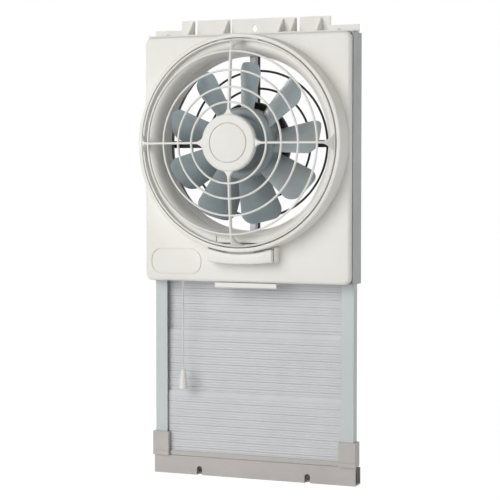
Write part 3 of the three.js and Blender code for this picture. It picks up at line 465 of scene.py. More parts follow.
def make_finishes(colours):
    """Every finish of the fan by its slot's name."""
    for build in (moulded_grain, aged_colour, dust_film, drawn_streaks, cord_twist):
        build()
    upright = (900.0, 900.0, 14.0)
    across = (14.0, 900.0, 900.0)
    return {
        "ivory_plastic": moulded_plastic("Ivory plastic", colours.ivory, 0xE9E5D8, 0.42),
        "cap_plastic": moulded_plastic(
            "Cap plastic", colours.cap, 0xE6E2D6, 0.5, grain=900.0, depth=0.12, dust=0.15),
        "housing_paint": moulded_plastic(
            "Housing paint", colours.housing, 0x8C8F8A, 0.5, grain=700.0, depth=0.1),
        "blade_plastic": moulded_plastic(
            "Blade plastic", colours.blades, 0x66737A, 0.38, dust=0.5, patches=0.7),
        "screw_steel": bright_steel("Screw steel", 0xC4C6C8, 0x8F9093, 0.35, (300, 300, 300)),
        "motor_paint": moulded_plastic(
            "Motor paint", 0x2A2C2F, 0x3A3B3C, 0.5, grain=500.0, depth=0.15, dust=0.6),
        "bracket_steel": bright_steel("Bracket steel", 0x9B9DA0, 0x747679, 0.42, upright),
        "guard_plastic": moulded_plastic("Rear guard plastic", 0x232528, 0x35373A, 0.48, dust=0.6),
        "rail_plastic": drawn_plastic("Rail plastic", colours.rails, 0xB9C2BD, 0.45, upright),
        "board_plastic": drawn_plastic("Board plastic", colours.boards, 0xC2C0BC, 0.55, across),
        "sill_plastic": drawn_plastic(
            "Sill plastic", colours.sill, 0xA39F97, 0.5, across, upper=0xC6C1BD),
        "black_plastic": moulded_plastic(
            "Black plastic", 0x2D2F32, 0x3C3E41, 0.45, grain=1200.0, depth=0.08),
        "knob_plastic": moulded_plastic("Knob plastic", 0xF2F2F0, 0xE4E2DC, 0.32, dust=0.1),
        "cord_fabric": twisted_cord("Twisted cord", 0xF0EDE6, 0xD8D2C6),
    }


FINISHES = {}


def carry_over(node_name, slot, soften=0.25, corner=30.0):
    """Gives a CAD node that keeps its shape its finish and soft edges."""
    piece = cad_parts[node_name]
    if not piece.material_slots:
        piece.data.materials.append(None)
    for place in piece.material_slots:
        place.material = FINISHES[slot]
    shade(piece, corner)
    if soften:
        soften_edges(piece, soften)


# ---- settings

def colour_setting(name, description, code):
    return bpy.props.FloatVectorProperty(
        name=name, description=description, subtype="COLOR", min=0, max=1, default=linear(code))


def length_setting(name, description, default, **limits):
    return bpy.props.FloatProperty(
        name=name, description=description, subtype="DISTANCE", unit="LENGTH", default=default,
        **limits)


def angle_setting(name, description, default):
    return bpy.props.FloatProperty(
        name=name, description=description, subtype="ANGLE", unit="ROTATION", default=default)


def power_setting(name, description, default):
    return bpy.props.FloatProperty(
        name=name, description=description, unit="POWER", default=default, min=0.0)


class FanColours(bpy.types.PropertyGroup):
    """The colours that a user would change."""

    ivory: colour_setting(
        "Panel and guard", "Colour of the front panel, its mouth and the guard", 0xF3F2EE)
    cap: colour_setting("Cap disc", "Colour of the disc in the middle of the guard", 0xF6F5F0)
    housing: colour_setting("Housing", "Colour of the housing behind the panel", 0xC6CACA)
    blades: colour_setting("Blades", "Colour of the rotor", 0xA9B5B9)
    rails: colour_setting("Rails", "Colour of the two side rails", 0xCDD5D4)
    boards: colour_setting("Filler boards", "Colour of the three sliding boards", 0xDADBDE)
    sill: colour_setting("Sill", "Colour of the sill plate's front", 0xC4BFBC)


class FanSizes(bpy.types.PropertyGroup):
    """The sizes of fine detail that a user would change, in metres."""

    lip_round: length_setting(
        "Panel edge", "Rounding of the front panel's edge", 5.0 * MM, min=0.5 * MM, max=7.0 * MM)
    guard_wire: length_setting(
        "Guard ring", "Width of one ring of the front guard", 3.1 * MM, min=2.0 * MM, max=5.0 * MM)
    label_groove: length_setting(
        "Plaque groove", "Width of the groove round the bare oval plaque", 1.5 * MM,
        min=0.4 * MM, max=2.0 * MM)


class StudioSettings(bpy.types.PropertyGroup):
    """Where the camera stands and how strong the lamps are."""

    yaw: angle_setting(
        "Yaw", "How far the camera stands to the right of straight ahead", 0.383924)
    pitch: angle_setting("Pitch", "How far the camera looks down", 0.047098)
    distance: length_setting(
        "Distance", "From the camera to the point that it looks at", 2.4729)
    lens: bpy.props.FloatProperty(
        name="Lens", description="Focal length on a 36 mm wide sensor, in millimetres",
        default=117.43, min=20.0, max=300.0)
    aim_x: length_setting("Aim sideways", "Where the camera looks, right of the middle", 0.00805)
    aim_z: length_setting(
        "Aim height", "Where the camera looks, above the sill's underside", 0.3558)
    key: power_setting("Key lamp", "Power of the large lamp at the front left", 250.0)
    side: power_setting("Side lamp", "Power of the lamp that lights the right side", 16.0)
    back: power_setting("Back lamp", "Power of the lamp that lights the outdoor side", 105.0)
    around: bpy.props.FloatProperty(
        name="Light all round", description="Strength of the pale surroundings on the object",
        default=0.1, min=0.0, max=2.0)


# ---- stage

# Each lamp's power setting, place and width in metres.
LAMPS = {
    "Key lamp": ("key", (-2.0, -5.4, 2.1), 5.4),
    "Side lamp": ("side", (2.6, 0.25, 1.1), 1.6),
    "Back lamp": ("back", (-3.6, 2.6, 2.2), 2.4),
}
LAMP_TARGET = (0.0, 0.0, 0.4)
FLOOR_REACH, FLOOR_TOP, FLOOR_BOTTOM = 4000, -0.05, -6
FLOOR_GLOW, FLOOR_GLOW_SHARE = 1.13, 0.85


def look(piece, place, ahead):
    """Stands a lamp or a camera at a place, looking ahead."""
    piece.location = place
    piece.rotation_euler = ahead.to_track_quat("-Z", "Y").to_euler()


def lamp(name, place, power, size, context):
    """A round lamp that looks at the object."""
    data = bpy.data.lights.new(name, "AREA")
    data.shape = "DISK"
    data.size = size
    data.energy = power
    look(new_object(name, data, context), place, Vector(LAMP_TARGET) - Vector(place))


def seen_rays(nodes):
    """1 for what the camera sees straight, in a mirror or through glass, and else 0."""
    path = nodes.node("ShaderNodeLightPath").outputs
    seen = nodes.maths("MAXIMUM", path["Is Camera Ray"], path["Is Glossy Ray"])
    return nodes.maths("MAXIMUM", seen, path["Is Transmission Ray"])


def pale_world(strength):
    """White to the camera, and a faint light on the object."""
    world = bpy.data.worlds.new("Pale surroundings")
    world.use_nodes = True
    nodes = Nodes(world.node_tree)
    light = nodes.tree.nodes["Background"].inputs
    light["Color"].default_value = (1, 1, 1, 1)
    nodes.feed(nodes.ramp(seen_rays(nodes), 0.0, 1.0, strength, 1.0), light["Strength"])
    return world


def pale_floor_finish():
    """White to the camera, with the object's shadow kept faint in it."""
    finish = Finish("Pale floor", 0.9)
    finish.shader["Base Color"].default_value = (0.9, 0.9, 0.9, 1)
    glow = finish.node("ShaderNodeEmission", {"Color": (1, 1, 1, 1), "Strength": FLOOR_GLOW})
    mix = finish.node("ShaderNodeMixShader", {
        "Fac": finish.maths("MULTIPLY", seen_rays(finish), FLOOR_GLOW_SHARE),
        1: finish.tree.nodes["Principled BSDF"].outputs["BSDF"], 2: glow.outputs["Emission"]})
    finish.feed(mix.outputs["Shader"], finish.tree.nodes["Material Output"].inputs["Surface"])
    return finish.material


class FAN_OT_stage(bpy.types.Operator):
    """Set the camera, the pale floor and the soft lamps"""

    bl_idname = "fan.stage"
    bl_label = "Stage"

    def execute(self, context):
        studio = context.scene.fan_studio
        ahead = Vector((
            -sin(studio.yaw) * cos(studio.pitch),
            cos(studio.yaw) * cos(studio.pitch),
            -sin(studio.pitch),
        ))
        data = bpy.data.cameras.new("Camera")
        data.sensor_width = 36.0
        data.lens = studio.lens
        data.clip_end = 50.0
        camera = new_object("Camera", data, context)
        aim = Vector((studio.aim_x, FACE_Y, studio.aim_z))
        look(camera, aim - ahead * studio.distance, ahead)
        context.scene.camera = camera

        floor = Mould().block(
            (-FLOOR_REACH, -FLOOR_REACH, FLOOR_BOTTOM), (FLOOR_REACH, FLOOR_REACH, FLOOR_TOP),
        ).loose("floor")
        floor.data.materials.append(pale_floor_finish())
        for name, (setting, place, size) in LAMPS.items():
            lamp(name, place, getattr(studio, setting), size, context)
        context.scene.world = pale_world(studio.around)
        context.scene.view_settings.view_transform = "Standard"
        return {"FINISHED"}


# ---- pull cord

CORD_X, CORD_DEPTH = -108.6, 12.0
CORD_TOP, CORD_BOTTOM = 303.0, 168.9
CORD_RADIUS, CORD_SWELL, CORD_SIDES = 1.0, 0.12, 10
CORD_POINTS = 22
KNOB_TOP, KNOB_HEIGHT = 168.6, 31.4
KNOB_FLUTES, KNOB_STEPS, FLUTE_DEPTH = 12, 96, 0.35
# The knob's section: how far below its top, and the radius there.
KNOB_LEVELS = (
    (0.0, 0.3), (0.2, 2.4), (1.0, 3.2), (2.0, 3.9), (9.0, 4.6), (18.0, 5.6), (26.0, 6.6),
    (KNOB_HEIGHT - 1.6, 7.2), (KNOB_HEIGHT - 0.4, 6.9), (KNOB_HEIGHT, 6.1), (KNOB_HEIGHT, 0.3),
)
# The bush's section: radius and height.
BUSH = ((1.4, 304.2), (2.7, 304.2), (3.0, 304.5), (3.0, 305.5), (2.2, 305.7), (2.2, 309.5),
        (1.4, 309.5))


def cord_skin():
    """Rings of a thin upright cord, with a slight swell for each lay of its twist."""
    rings = []
    steps = CORD_POINTS * 4
    for step in range(steps + 1):
        height = CORD_BOTTOM + (CORD_TOP - CORD_BOTTOM) * step / steps
        radius = CORD_RADIUS - CORD_SWELL * (step % 2)
        rings.append([
            (CORD_X + radius * across, CORD_DEPTH + radius * along, height)
            for across, along in circle(CORD_SIDES)
        ])
    return rings


class FAN_OT_pull_cord(bpy.types.Operator):
    """Hang the twisted pull cord, its knob and its bush"""

    bl_idname = "fan.pull_cord"
    bl_label = "Pull cord"

    def execute(self, context):
        cord = Mould().rings(cord_skin()).piece(
            "twisted_pull_cord", "pull_switch", "cord_fabric", corner=60)
        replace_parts(cord, "pull_cord")
        knob = self.knob()
        carry_over("cord_lead", "cord_fabric", soften=0)
        bush = Mould().upright(BUSH, CORD_X, CORD_DEPTH, ROUND_BUSH).piece(
            "slim_cord_bush", "fan_unit", "ivory_plastic", corner=40)
        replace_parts(bush, "cord_bush")
        return {"FINISHED"}

    def knob(self):
        """The fluted bell-shaped knob."""
        rings = []
        for drop, radius in KNOB_LEVELS:
            depth = FLUTE_DEPTH if 2.5 < drop < KNOB_HEIGHT - 2 else 0.0
            ring = []
            for step, (across, along) in enumerate(circle(KNOB_STEPS)):
                flute = cos(KNOB_FLUTES * 2 * pi * step / KNOB_STEPS)
                here = radius - depth * (0.5 + 0.5 * flute)
                ring.append((CORD_X + here * across, CORD_DEPTH + here * along, KNOB_TOP - drop))
            rings.append(ring)
        knob = Mould().rings(rings).piece(
            "fluted_knob", "pull_switch", "knob_plastic", corner=50)
        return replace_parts(knob, "pull_knob")


# ---- front panel and mouth

PANEL_WIDTH, PANEL_HEIGHT, PANEL_BOTTOM = 335.0, 376.0, 306.0
PANEL_MIDDLE = PANEL_BOTTOM + PANEL_HEIGHT / 2
PANEL_CORNER, PANEL_WALL = 10.0, 2.5
SKIRT_FOOT, LIP_OUTER, LIP_FRONT = 164.6, 163.4, -33.0
SEAT_OUTER, SEAT_INNER, SEAT_DEPTH = 157.4, 148.6, -24.5
THROAT, THROAT_DEPTH = 136.0, 1.0
PLAQUE = {"x": -114.5, "z": 336.5, "width": 85.0, "height": 40.0, "corner": 18.0}
GROOVE_DEPTH = 1.5
ARM_HOLE = ((-9, -5, 338.2), (9, 10, 348.2))        # for the tab's arm, in the panel
FRAME_ARM_HOLE = ((-9, 0, 329.5), (9, 20, 348.2))   # and in the tray behind it
# A block beside the lower rib, and the boxes cut out of the mouth there: the room behind the
# guard's seat, the window in the seat, the slot under the rim, the thin upright slot and the
# way of the guard's tongue. Heights count from the lip's lowest point.
LATCH_BLOCK = ((-36, -24.2, 17.0), (-12.5, -10, 23.4))
LATCH_CUTS = (
    ((-34, -22.5, 3.5), (34, -9, 13.5)), ((-34, -26, 7), (34, -9, 13.5)),
    ((-36, -26, 9.4), (36, -16, 14.0)), ((-37.6, -26, 9.4), (-36.2, -12, 24)),
    ((-24, -19.5, -4), (24, -13, 8)),
)


def raised(corners, height):
    """Two corners of a block, moved up by a height."""
    return [(x, depth, height + z) for x, depth, z in corners]


def spread_outline(outline, most):
    """Adds points so that no straight run of an outline is longer than most."""
    spread = []
    for (x0, z0), (x1, z1) in zip(outline, outline[1:] + outline[:1]):
        parts = max(1, ceil(hypot(x1 - x0, z1 - z0) / most))
        spread += [(x0 + (x1 - x0) * k / parts, z0 + (z1 - z0) * k / parts) for k in range(parts)]
    return spread


def shrunk_ring(outline, depth, inset, half_width, half_height, middle):
    """An outline drawn in evenly by an inset, at a depth."""
    share_x, share_z = 1 - inset / half_width, 1 - inset / half_height
    return [(x * share_x, depth, middle + (z - middle) * share_z) for x, z in outline]


def round_ring(outline, depth, radius):
    """An outline's points moved onto a circle round the fan's axis, at a depth."""
    ring = []
    for x, z in outline:
        reach = hypot(x, z - AXIS)
        ring.append((x / reach * radius, depth, AXIS + (z - AXIS) / reach * radius))
    return ring


def panel_skin(edge_round):
    """The panel's face from its round hole to its rounded rim, and back inside."""
    base = spread_outline(rounded_rectangle(
        PANEL_WIDTH, PANEL_HEIGHT, PANEL_CORNER, 0, PANEL_MIDDLE, steps=10), 12.0)

    def shrunk(inset, depth):
        return shrunk_ring(base, depth, inset, PANEL_WIDTH / 2, PANEL_HEIGHT / 2, PANEL_MIDDLE)

    rings = [round_ring(base, depth, SKIRT_FOOT - 1.2) for depth in (PANEL_WALL, 0.0)]
    for step in range(7):
        angle = pi / 2 * step / 6
        rings.append(shrunk(
            edge_round * (1 - sin(angle)), edge_round * (1 - cos(angle))))
    return rings + [
        shrunk(0.0, PANEL_DEPTH), shrunk(PANEL_WALL, PANEL_DEPTH), shrunk(edge_round, PANEL_WALL),
    ]


def mouth_outline():
    """The mouth's section: skirt, rounded lip, the guard's seat and the flare."""
    outline = traced(
        (SKIRT_FOOT, 3.0), (SKIRT_FOOT - 0.1, 0.0), (LIP_OUTER + 0.1, LIP_FRONT + 2.6),
        ((LIP_OUTER, LIP_FRONT), (LIP_OUTER - 2.2, LIP_FRONT), 6), (SEAT_OUTER + 1.3, LIP_FRONT),
        ((SEAT_OUTER, LIP_FRONT), (SEAT_OUTER, LIP_FRONT + 1.3), 5),
        (SEAT_OUTER, SEAT_DEPTH), (SEAT_INNER, SEAT_DEPTH))
    for step in range(1, 21):
        turn = pi / 2 * step / 20
        outline.append((
            THROAT + (SEAT_INNER - THROAT) * (1 - sin(turn)),
            THROAT_DEPTH + (SEAT_DEPTH - THROAT_DEPTH) * cos(turn),
        ))
    return outline + [
        (THROAT + PANEL_WALL, THROAT_DEPTH), (SEAT_INNER + PANEL_WALL, SEAT_DEPTH + PANEL_WALL),
        (SKIRT_FOOT - PANEL_WALL, SEAT_DEPTH + PANEL_WALL), (SKIRT_FOOT - PANEL_WALL, 3.0),
    ]


TAB_INNER, TAB_OUTER, TAB_FOOT_ROUND, TAB_HALF = 166.4, 182.0, 380.0, 52.5
TAB_FRONT, TAB_BACK, TAB_WALL, TAB_EDGE, TAB_CORNER = -25.0, -11.0, 3.0, 2.2, 4.0
# Steps round the tab's front edge: shares of its rounding inwards and backwards.
TAB_EDGE_STEPS = ((1, 0), (0.62, 0.07), (0.29, 0.29), (0.07, 0.62), (0, 1))
# The tongue and the two legs of the arm behind the tab. Heights count from the tab's foot.
TAB_ARM = (
    ((-22, -18, 2), (22, -15.4, 26.0)), ((-7, -17, 9), (7, 16, 12.2)),
    ((-7, 13, 1), (7, 27, 12.2)),
)
POST_NEAR, POST_FAR, POST_DEPTHS, POST_HEIGHTS = 53.4, 56, (-17, 1), (339, 361)


def tab_outline():
    """The tab's curved outline from the room, clockwise from its upper left corner."""

    def arc(drop, radius, reach):
        places = [reach * (step / 12 - 1) for step in range(25)]
        return [(x, AXIS - drop + radius - sqrt(radius ** 2 - x ** 2)) for x in places]

    side, round_off = TAB_HALF, TAB_CORNER
    upper = arc(TAB_INNER, TAB_INNER, side - round_off)
    lower = list(reversed(arc(TAB_OUTER, TAB_FOOT_ROUND, side - round_off)))
    top, low = upper[0][1], lower[0][1]
    return traced(
        *upper, ((side, top), (side, top - round_off), 6), (side, low + round_off),
        ((side, low), lower[0], 6), *lower[1:],
        ((-side, low), (-side, low + round_off), 6), (-side, top - round_off),
        ((-side, top), upper[0], 6))[:-1]


def drawn_in(outline, inset):
    """A clockwise outline of x and z moved inwards by an inset."""
    moved = []
    for before, here, after in zip(outline[-1:] + outline[:-1], outline, outline[1:] + outline[:1]):
        along_x, along_z = after[0] - before[0], after[1] - before[1]
        length = hypot(along_x, along_z)
        moved.append((here[0] + along_z / length * inset, here[1] - along_x / length * inset))
    return moved


class FAN_OT_front_panel(bpy.types.Operator):
    """Mould the front panel with its mouth, its bare plaque outline and its press tab"""

    bl_idname = "fan.front_panel"
    bl_label = "Front panel"

    def execute(self, context):
        sizes = context.scene.fan_sizes
        face = Mould().rings(panel_skin(sizes.lip_round / MM), closed=True).piece(
            "panel_face", "fan_unit", "ivory_plastic",
            cutters=[self.groove_cutter(sizes.label_groove / MM), cutter(*ARM_HOLE)])
        bottom = AXIS - LIP_OUTER
        mouth = Mould().turned(mouth_outline()).block(*raised(LATCH_BLOCK, bottom)).piece(
            "bell_mouth", "fan_unit", "ivory_plastic", corner=32,
            cutters=[cutter(*raised(corners, bottom)) for corners in LATCH_CUTS])
        posts = Mould()
        for side in (-1, 1):
            near, far = sorted((side * POST_NEAR, side * POST_FAR))
            posts.block(
                (near, POST_DEPTHS[0], POST_HEIGHTS[0]), (far, POST_DEPTHS[1], POST_HEIGHTS[1]))
        posts = posts.piece("tab_posts", "fan_unit", "ivory_plastic", soften=0.6)
        for piece in (face, mouth, posts):
            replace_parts(piece, "front_panel")
        carry_over("grip_bar", "ivory_plastic", soften=0.4)
        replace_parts(self.press_tab(), "release_tab")
        return {"FINISHED"}

    def press_tab(self):
        """The curved tab under the mouth: a hollow shell with its tongue and arm."""
        outline = tab_outline()
        sections = [
            (TAB_EDGE * inwards, TAB_FRONT + TAB_EDGE * backwards)
            for inwards, backwards in TAB_EDGE_STEPS
        ]
        sections += [(0.0, TAB_BACK), (TAB_WALL, TAB_BACK), (TAB_WALL, TAB_FRONT + TAB_WALL)]
        tab = Mould().rings([
            [(x, depth, z) for x, z in drawn_in(outline, inset)] for inset, depth in sections
        ])
        for corners in TAB_ARM:
            tab.block(*raised(corners, AXIS - TAB_OUTER))
        return tab.piece("press_tab", "release_latch", "ivory_plastic", corner=34)

    def groove_cutter(self, width):
        """A thin upright wall along the plaque's outline."""
        rings = []
        for inset, depths in ((0, (-1.0, GROOVE_DEPTH)), (width, (GROOVE_DEPTH, -1.0))):
            outline = rounded_rectangle(
                PLAQUE["width"] - 2 * inset, PLAQUE["height"] - 2 * inset,
                PLAQUE["corner"] - inset, PLAQUE["x"], PLAQUE["z"], 14)
            rings += [[(x, depth, z) for x, z in outline] for depth in depths]
        return Mould().rings(rings, closed=True).loose("cutter")


# ---- front guard

GUARD_RINGS = ((60.0, -66.0), (82.5, -63.6), (107.7, -60.6), (135.6, -56.8))
WIRE_STEPS, WIRE_FRONT, WIRE_KEEL = 16, 1.6, 3.4
RIM_OUTER, RIM_INNER, RIM_FRONT, RIM_BACK = 155.8, 152.8, -34.0, -24.8
TONGUE_TOP, TONGUE_THICK, TONGUE_HALF, TONGUE_BACK = 151.3, 2.5, 26, -10.5
CAP_RADIUS, CAP_FRONT, CAP_BACK, DISC_RADIUS = 43.0, -68.5, -60.0, 29.0
CAP_WALL, CAP_LIP, DISC_GAP = 2, 5.5, 0.8
HOOK_MIDDLE, HOOK_HALF, HOOK_DEPTHS, HOOK_REACHES = 27, 5, (-29.5, -26.5), (151.4, 156.4)
# A rib's half width along its run, and how it widens inwards from one radius and outwards
# from another.
RIB_HALF, RIB_SOFT = 1.65, 0.8
RIB_ROOT, RIB_ROOT_WIDER, RIB_FOOT, RIB_FOOT_WIDER = 53, 8.0, 141, 8.5
# A rib's front and back lines of radius and depth, from the cap to the rim.
RIB_FRONT = (
    (40.0, CAP_FRONT + 2.2), ((60.0, -66.5), (82.5, -64.6), 8),
    ((107.0, -62.0), (136.0, -58.4), 10), ((150.0, -53.0), (154.6, RIM_FRONT + 1), 12))
RIB_BACK = (
    (40.0, CAP_BACK - 0.6), ((60.0, -59.0), (82.5, -57.5), 8),
    ((107.0, -55.5), (132.0, -52.5), 10), ((145.0, -46.0), (153.4, RIM_FRONT + 5), 12))


def guard_ring_outline(radius, depth, width):
    """A ring's section: rounded in front, drawn out to a soft keel behind."""
    return [
        (radius + width / 2 * across, depth + along * (WIRE_FRONT if along < 0 else WIRE_KEEL))
        for across, along in circle(WIRE_STEPS)
    ]


def rib_rings():
    """Sections of one upright rib from the cap's edge out over the rings and down to the rim."""
    rings = []
    for (r0, y0), (r1, y1) in zip(traced(*RIB_FRONT), traced(*RIB_BACK)):
        reach = (r0 + r1) / 2
        foot, root = max(0.0, (reach - RIB_FOOT) / 11), max(0.0, (RIB_ROOT - reach) / 13)
        half = RIB_HALF + RIB_FOOT_WIDER * foot ** 2.2 + RIB_ROOT_WIDER * root ** 2
        length = hypot(r1 - r0, y1 - y0)
        along = ((r1 - r0) / length, (y1 - y0) / length)
        section = rounded_section(half, length)
        rings.append([(
            across, y0 + along[1] * inset, AXIS + r0 + along[0] * inset,
        ) for across, inset in section])
    return rings


def rounded_section(half, length):
    """A rib's section with blunt corners: points across it and inwards from its front."""
    inner = half - RIB_SOFT
    low, high = RIB_SOFT, length - RIB_SOFT
    return ((-inner, 0), (inner, 0), (half, low), (half, high), (inner, length), (-inner, length),
            (-half, high), (-half, low))


class FAN_OT_front_guard(bpy.types.Operator):
    """Build the domed front guard with its rings, ribs, rim and capped middle"""

    bl_idname = "fan.front_guard"
    bl_label = "Front guard"

    def execute(self, context):
        width = context.scene.fan_sizes.guard_wire / MM
        guard = Mould()
        for radius, depth in GUARD_RINGS:
            guard.turned(guard_ring_outline(radius, depth, width))
        for quarter in range(4):
            guard.add(Mould().rings(rib_rings()).turn(90 * quarter))
        rim = traced(
            (RIM_INNER, RIM_BACK), (RIM_OUTER, RIM_BACK), (RIM_OUTER, RIM_FRONT + 1.2),
            ((RIM_OUTER, RIM_FRONT), (RIM_OUTER - 1.2, RIM_FRONT + 0.1), 4),
            ((RIM_INNER, RIM_FRONT + 0.3), (RIM_INNER, RIM_FRONT + 2.2), 6))
        guard.turned(rim)
        well = DISC_RADIUS + DISC_GAP
        inner, end = CAP_RADIUS - CAP_WALL, CAP_BACK - CAP_LIP
        cap = traced(
            (0, CAP_FRONT + 2.3), (well, CAP_FRONT + 2.3), (well, CAP_FRONT + 0.4),
            (well + 0.4, CAP_FRONT), (CAP_RADIUS - 4.5, CAP_FRONT),
            ((CAP_RADIUS, CAP_FRONT), (CAP_RADIUS, CAP_FRONT + 4.5), 7),
            (CAP_RADIUS, CAP_BACK), (inner, CAP_BACK), (inner, end), (0, end))
        guard.turned(cap, ROUND_CAP, ring=False)
        guard.block(
            (-TONGUE_HALF, RIM_BACK - 4, AXIS - TONGUE_TOP - TONGUE_THICK),
            (TONGUE_HALF, TONGUE_BACK, AXIS - TONGUE_TOP))
        for middle in (-HOOK_MIDDLE, HOOK_MIDDLE):
            guard.block(
                (middle - HOOK_HALF, HOOK_DEPTHS[0], AXIS + HOOK_REACHES[0]),
                (middle + HOOK_HALF, HOOK_DEPTHS[1], AXIS + HOOK_REACHES[1]))
        grille = guard.piece("front_grille", "front_guard", "ivory_plastic", corner=40)
        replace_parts(grille, "front_guard")
        disc = traced(
            (0, CAP_FRONT - 0.2), (DISC_RADIUS - 2.4, CAP_FRONT - 0.05),
            ((DISC_RADIUS, CAP_FRONT), (DISC_RADIUS, CAP_FRONT + 1.4), 5),
            (DISC_RADIUS, CAP_FRONT + 2), (0, CAP_FRONT + 2))
        plug = Mould().turned(disc, ROUND_CAP, ring=False).piece(
            "cap_plug", "front_guard", "cap_plastic")
        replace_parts(plug, "guard_cap_disc")
        return {"FINISHED"}


# ---- rotor

BLADES, FIRST_BLADE = 9, 85.0
BLADE_TIP, ROOT_CHORD, TIP_CHORD, CHORD_SPAN = 122.5, 50.0, 66.0, 58
BLADE_ROWS, BLADE_COLUMNS = 26, 14
# How the rows crowd towards the tip, how much the tip's corners narrow it, and how late the
# section thins towards its edges.
TIP_CROWDING, CORNER_SHARE, EDGE_POWER = 1.8, 0.92, 6
ROOT_PITCH, TIP_PITCH = 46.0, 38.0
BLADE_THICK, BLADE_CAMBER, BLADE_CORNER, BLADE_MIDDLE = 2.2, 4.5, 17.0, -1.0
HUB_RADIUS, HUB_FRONT, HUB_BACK, HUB_WALL = 54.0, -21.0, 18.0, 3.0


def blade_rings():
    """Sections of one twisted, cambered blade, wrapped on its radius from root to tip."""
    root = HUB_RADIUS - 2
    rings = []
    for row in range(BLADE_ROWS + 1):
        along = 1 - (1 - row / BLADE_ROWS) ** TIP_CROWDING
        radius = root + (BLADE_TIP - root) * along
        chord = ROOT_CHORD + (TIP_CHORD - ROOT_CHORD) * min(1.0, (radius - root) / CHORD_SPAN)
        pitch = radians(ROOT_PITCH + (TIP_PITCH - ROOT_PITCH) * along)
        into_corner = max(0.0, radius - (BLADE_TIP - BLADE_CORNER)) / BLADE_CORNER
        narrowed = BLADE_CORNER * (1 - sqrt(max(0.0, 1 - into_corner ** 2)))
        half = chord / 2 - narrowed * CORNER_SHARE
        ring = []
        for face in (1, -1):
            for column in range(BLADE_COLUMNS + 1):
                across = face * (2 * column / BLADE_COLUMNS - 1)
                offset = across * half
                bulge = BLADE_CAMBER * (1 - (offset / (chord / 2)) ** 2)
                edge = sqrt(max(0.0, 1 - across ** EDGE_POWER))
                lift = bulge + face * BLADE_THICK / 2 * edge
                forwards = offset * sin(pitch) + lift * cos(pitch)
                sideways = (offset * cos(pitch) - lift * sin(pitch)) / radius
                ring.append((
                    radius * sin(sideways), BLADE_MIDDLE - forwards,
                    AXIS + radius * cos(sideways),
                ))
        rings.append(ring)
    return rings


class FAN_OT_rotor(bpy.types.Operator):
    """Build the rotor: hub, nine twisted blades and the nut that holds it"""

    bl_idname = "fan.rotor"
    bl_label = "Rotor"

    def execute(self, context):
        rotor = Mould()
        for index in range(BLADES):
            rotor.add(Mould().rings(blade_rings()).turn(90 - FIRST_BLADE - index * 360 / BLADES))
        bore, socket, inner = 4.3, 11, HUB_RADIUS - HUB_WALL
        hub = traced(
            (bore, HUB_FRONT + 8), (socket, HUB_FRONT + 8), (socket + 2, HUB_FRONT + 10.5),
            (36, HUB_FRONT + 10.5), ((39.5, HUB_FRONT + 10), (41, HUB_FRONT + 2.5), 4),
            ((42.5, HUB_FRONT), (45.5, HUB_FRONT), 4),
            ((HUB_RADIUS, HUB_FRONT), (HUB_RADIUS, HUB_FRONT + 8), 7),
            (HUB_RADIUS, HUB_BACK), (inner, HUB_BACK), (inner, HUB_FRONT + 14),
            (socket + 2, HUB_FRONT + 13.5), (socket, HUB_FRONT + 20), (bore, HUB_FRONT + 20))
        rotor.turned(hub, ROUND_HUB)
        wheel = rotor.piece("bladed_rotor", "rotor", "blade_plastic", corner=38)
        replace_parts(wheel, "rotor")
        carry_over("rotor_nut", "blade_plastic", soften=0.5)
        carry_over("motor_shaft", "screw_steel", soften=0.4)
        return {"FINISHED"}


# ---- motor

# Sections of the motor's can and of its bore: radius and depth.
MOTOR_SHELL = ((0, 1), (12, 1), (13.5, 3.2), (42, 3.8), (46, 8), (46, 23.5), (62, 23.5),
               (64, 25.5), (64, 30.7), (0, 30.7))
SHAFT_BORE, ROUND_BORE = ((0, -1), (4.3, -1), (4.3, 14.5), (0, 14.5)), 32


class FAN_OT_motor(bpy.types.Operator):
    """Finish the motor, its bracket, its capacitor and the switch"""

    bl_idname = "fan.motor"
    bl_label = "Motor and switch"

    def execute(self, context):
        bore = Mould().turned(SHAFT_BORE, ROUND_BORE, ring=False).loose("cutter")
        motor = Mould().turned(MOTOR_SHELL, ROUND_CAP, ring=False).piece(
            "motor_can", "fan_unit", "motor_paint", cutters=[bore], soften=0.8)
        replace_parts(motor, "motor_shell")
        carry_over("motor_rear_bell", "motor_paint", soften=0.6)
        carry_over("motor_bracket", "bracket_steel", soften=0.3)
        for name in ("bracket_screw_top", "bracket_screw_bottom"):
            carry_over(name, "screw_steel", soften=0.2)
        carry_over("capacitor", "black_plastic", soften=0.8)
        carry_over("switch_box", "black_plastic", soften=0.5)
        carry_over("switch_stem", "knob_plastic", soften=0.3)
        return {"FINISHED"}


# ---- duct, housing and rear guard

FRAME_INSET, FRAME_FRONT, FRAME_BACK, FRAME_WALL = 1.6, 8.3, 14.0, 2.5
ORIFICE_MOUTH, ORIFICE, ORIFICE_FRONT, ORIFICE_BACK, SLEEVE_WALL = 135.8, 132.5, 2.0, 22.0, 2.4
REAR_FRONT, REAR_REACH, REAR_WIRE, HOOP_HALF = 53.3, 148.0, 1.8, 4.0
REAR_RINGS, REAR_MIDDLE = (85.4, 112.6), REAR_FRONT + 2.2
SPRING_TURNS, SPRING_STEPS, SPRING_WIRE, SPRING_SLOPE = 4, 24, 0.5, 0.25
SPRING_LOW, SPRING_RISE, SPRING_RADIUS, SPRING_DEPTH, SPRING_SEAT = 308.9, 26.2, 4.0, 20.5, 308.4


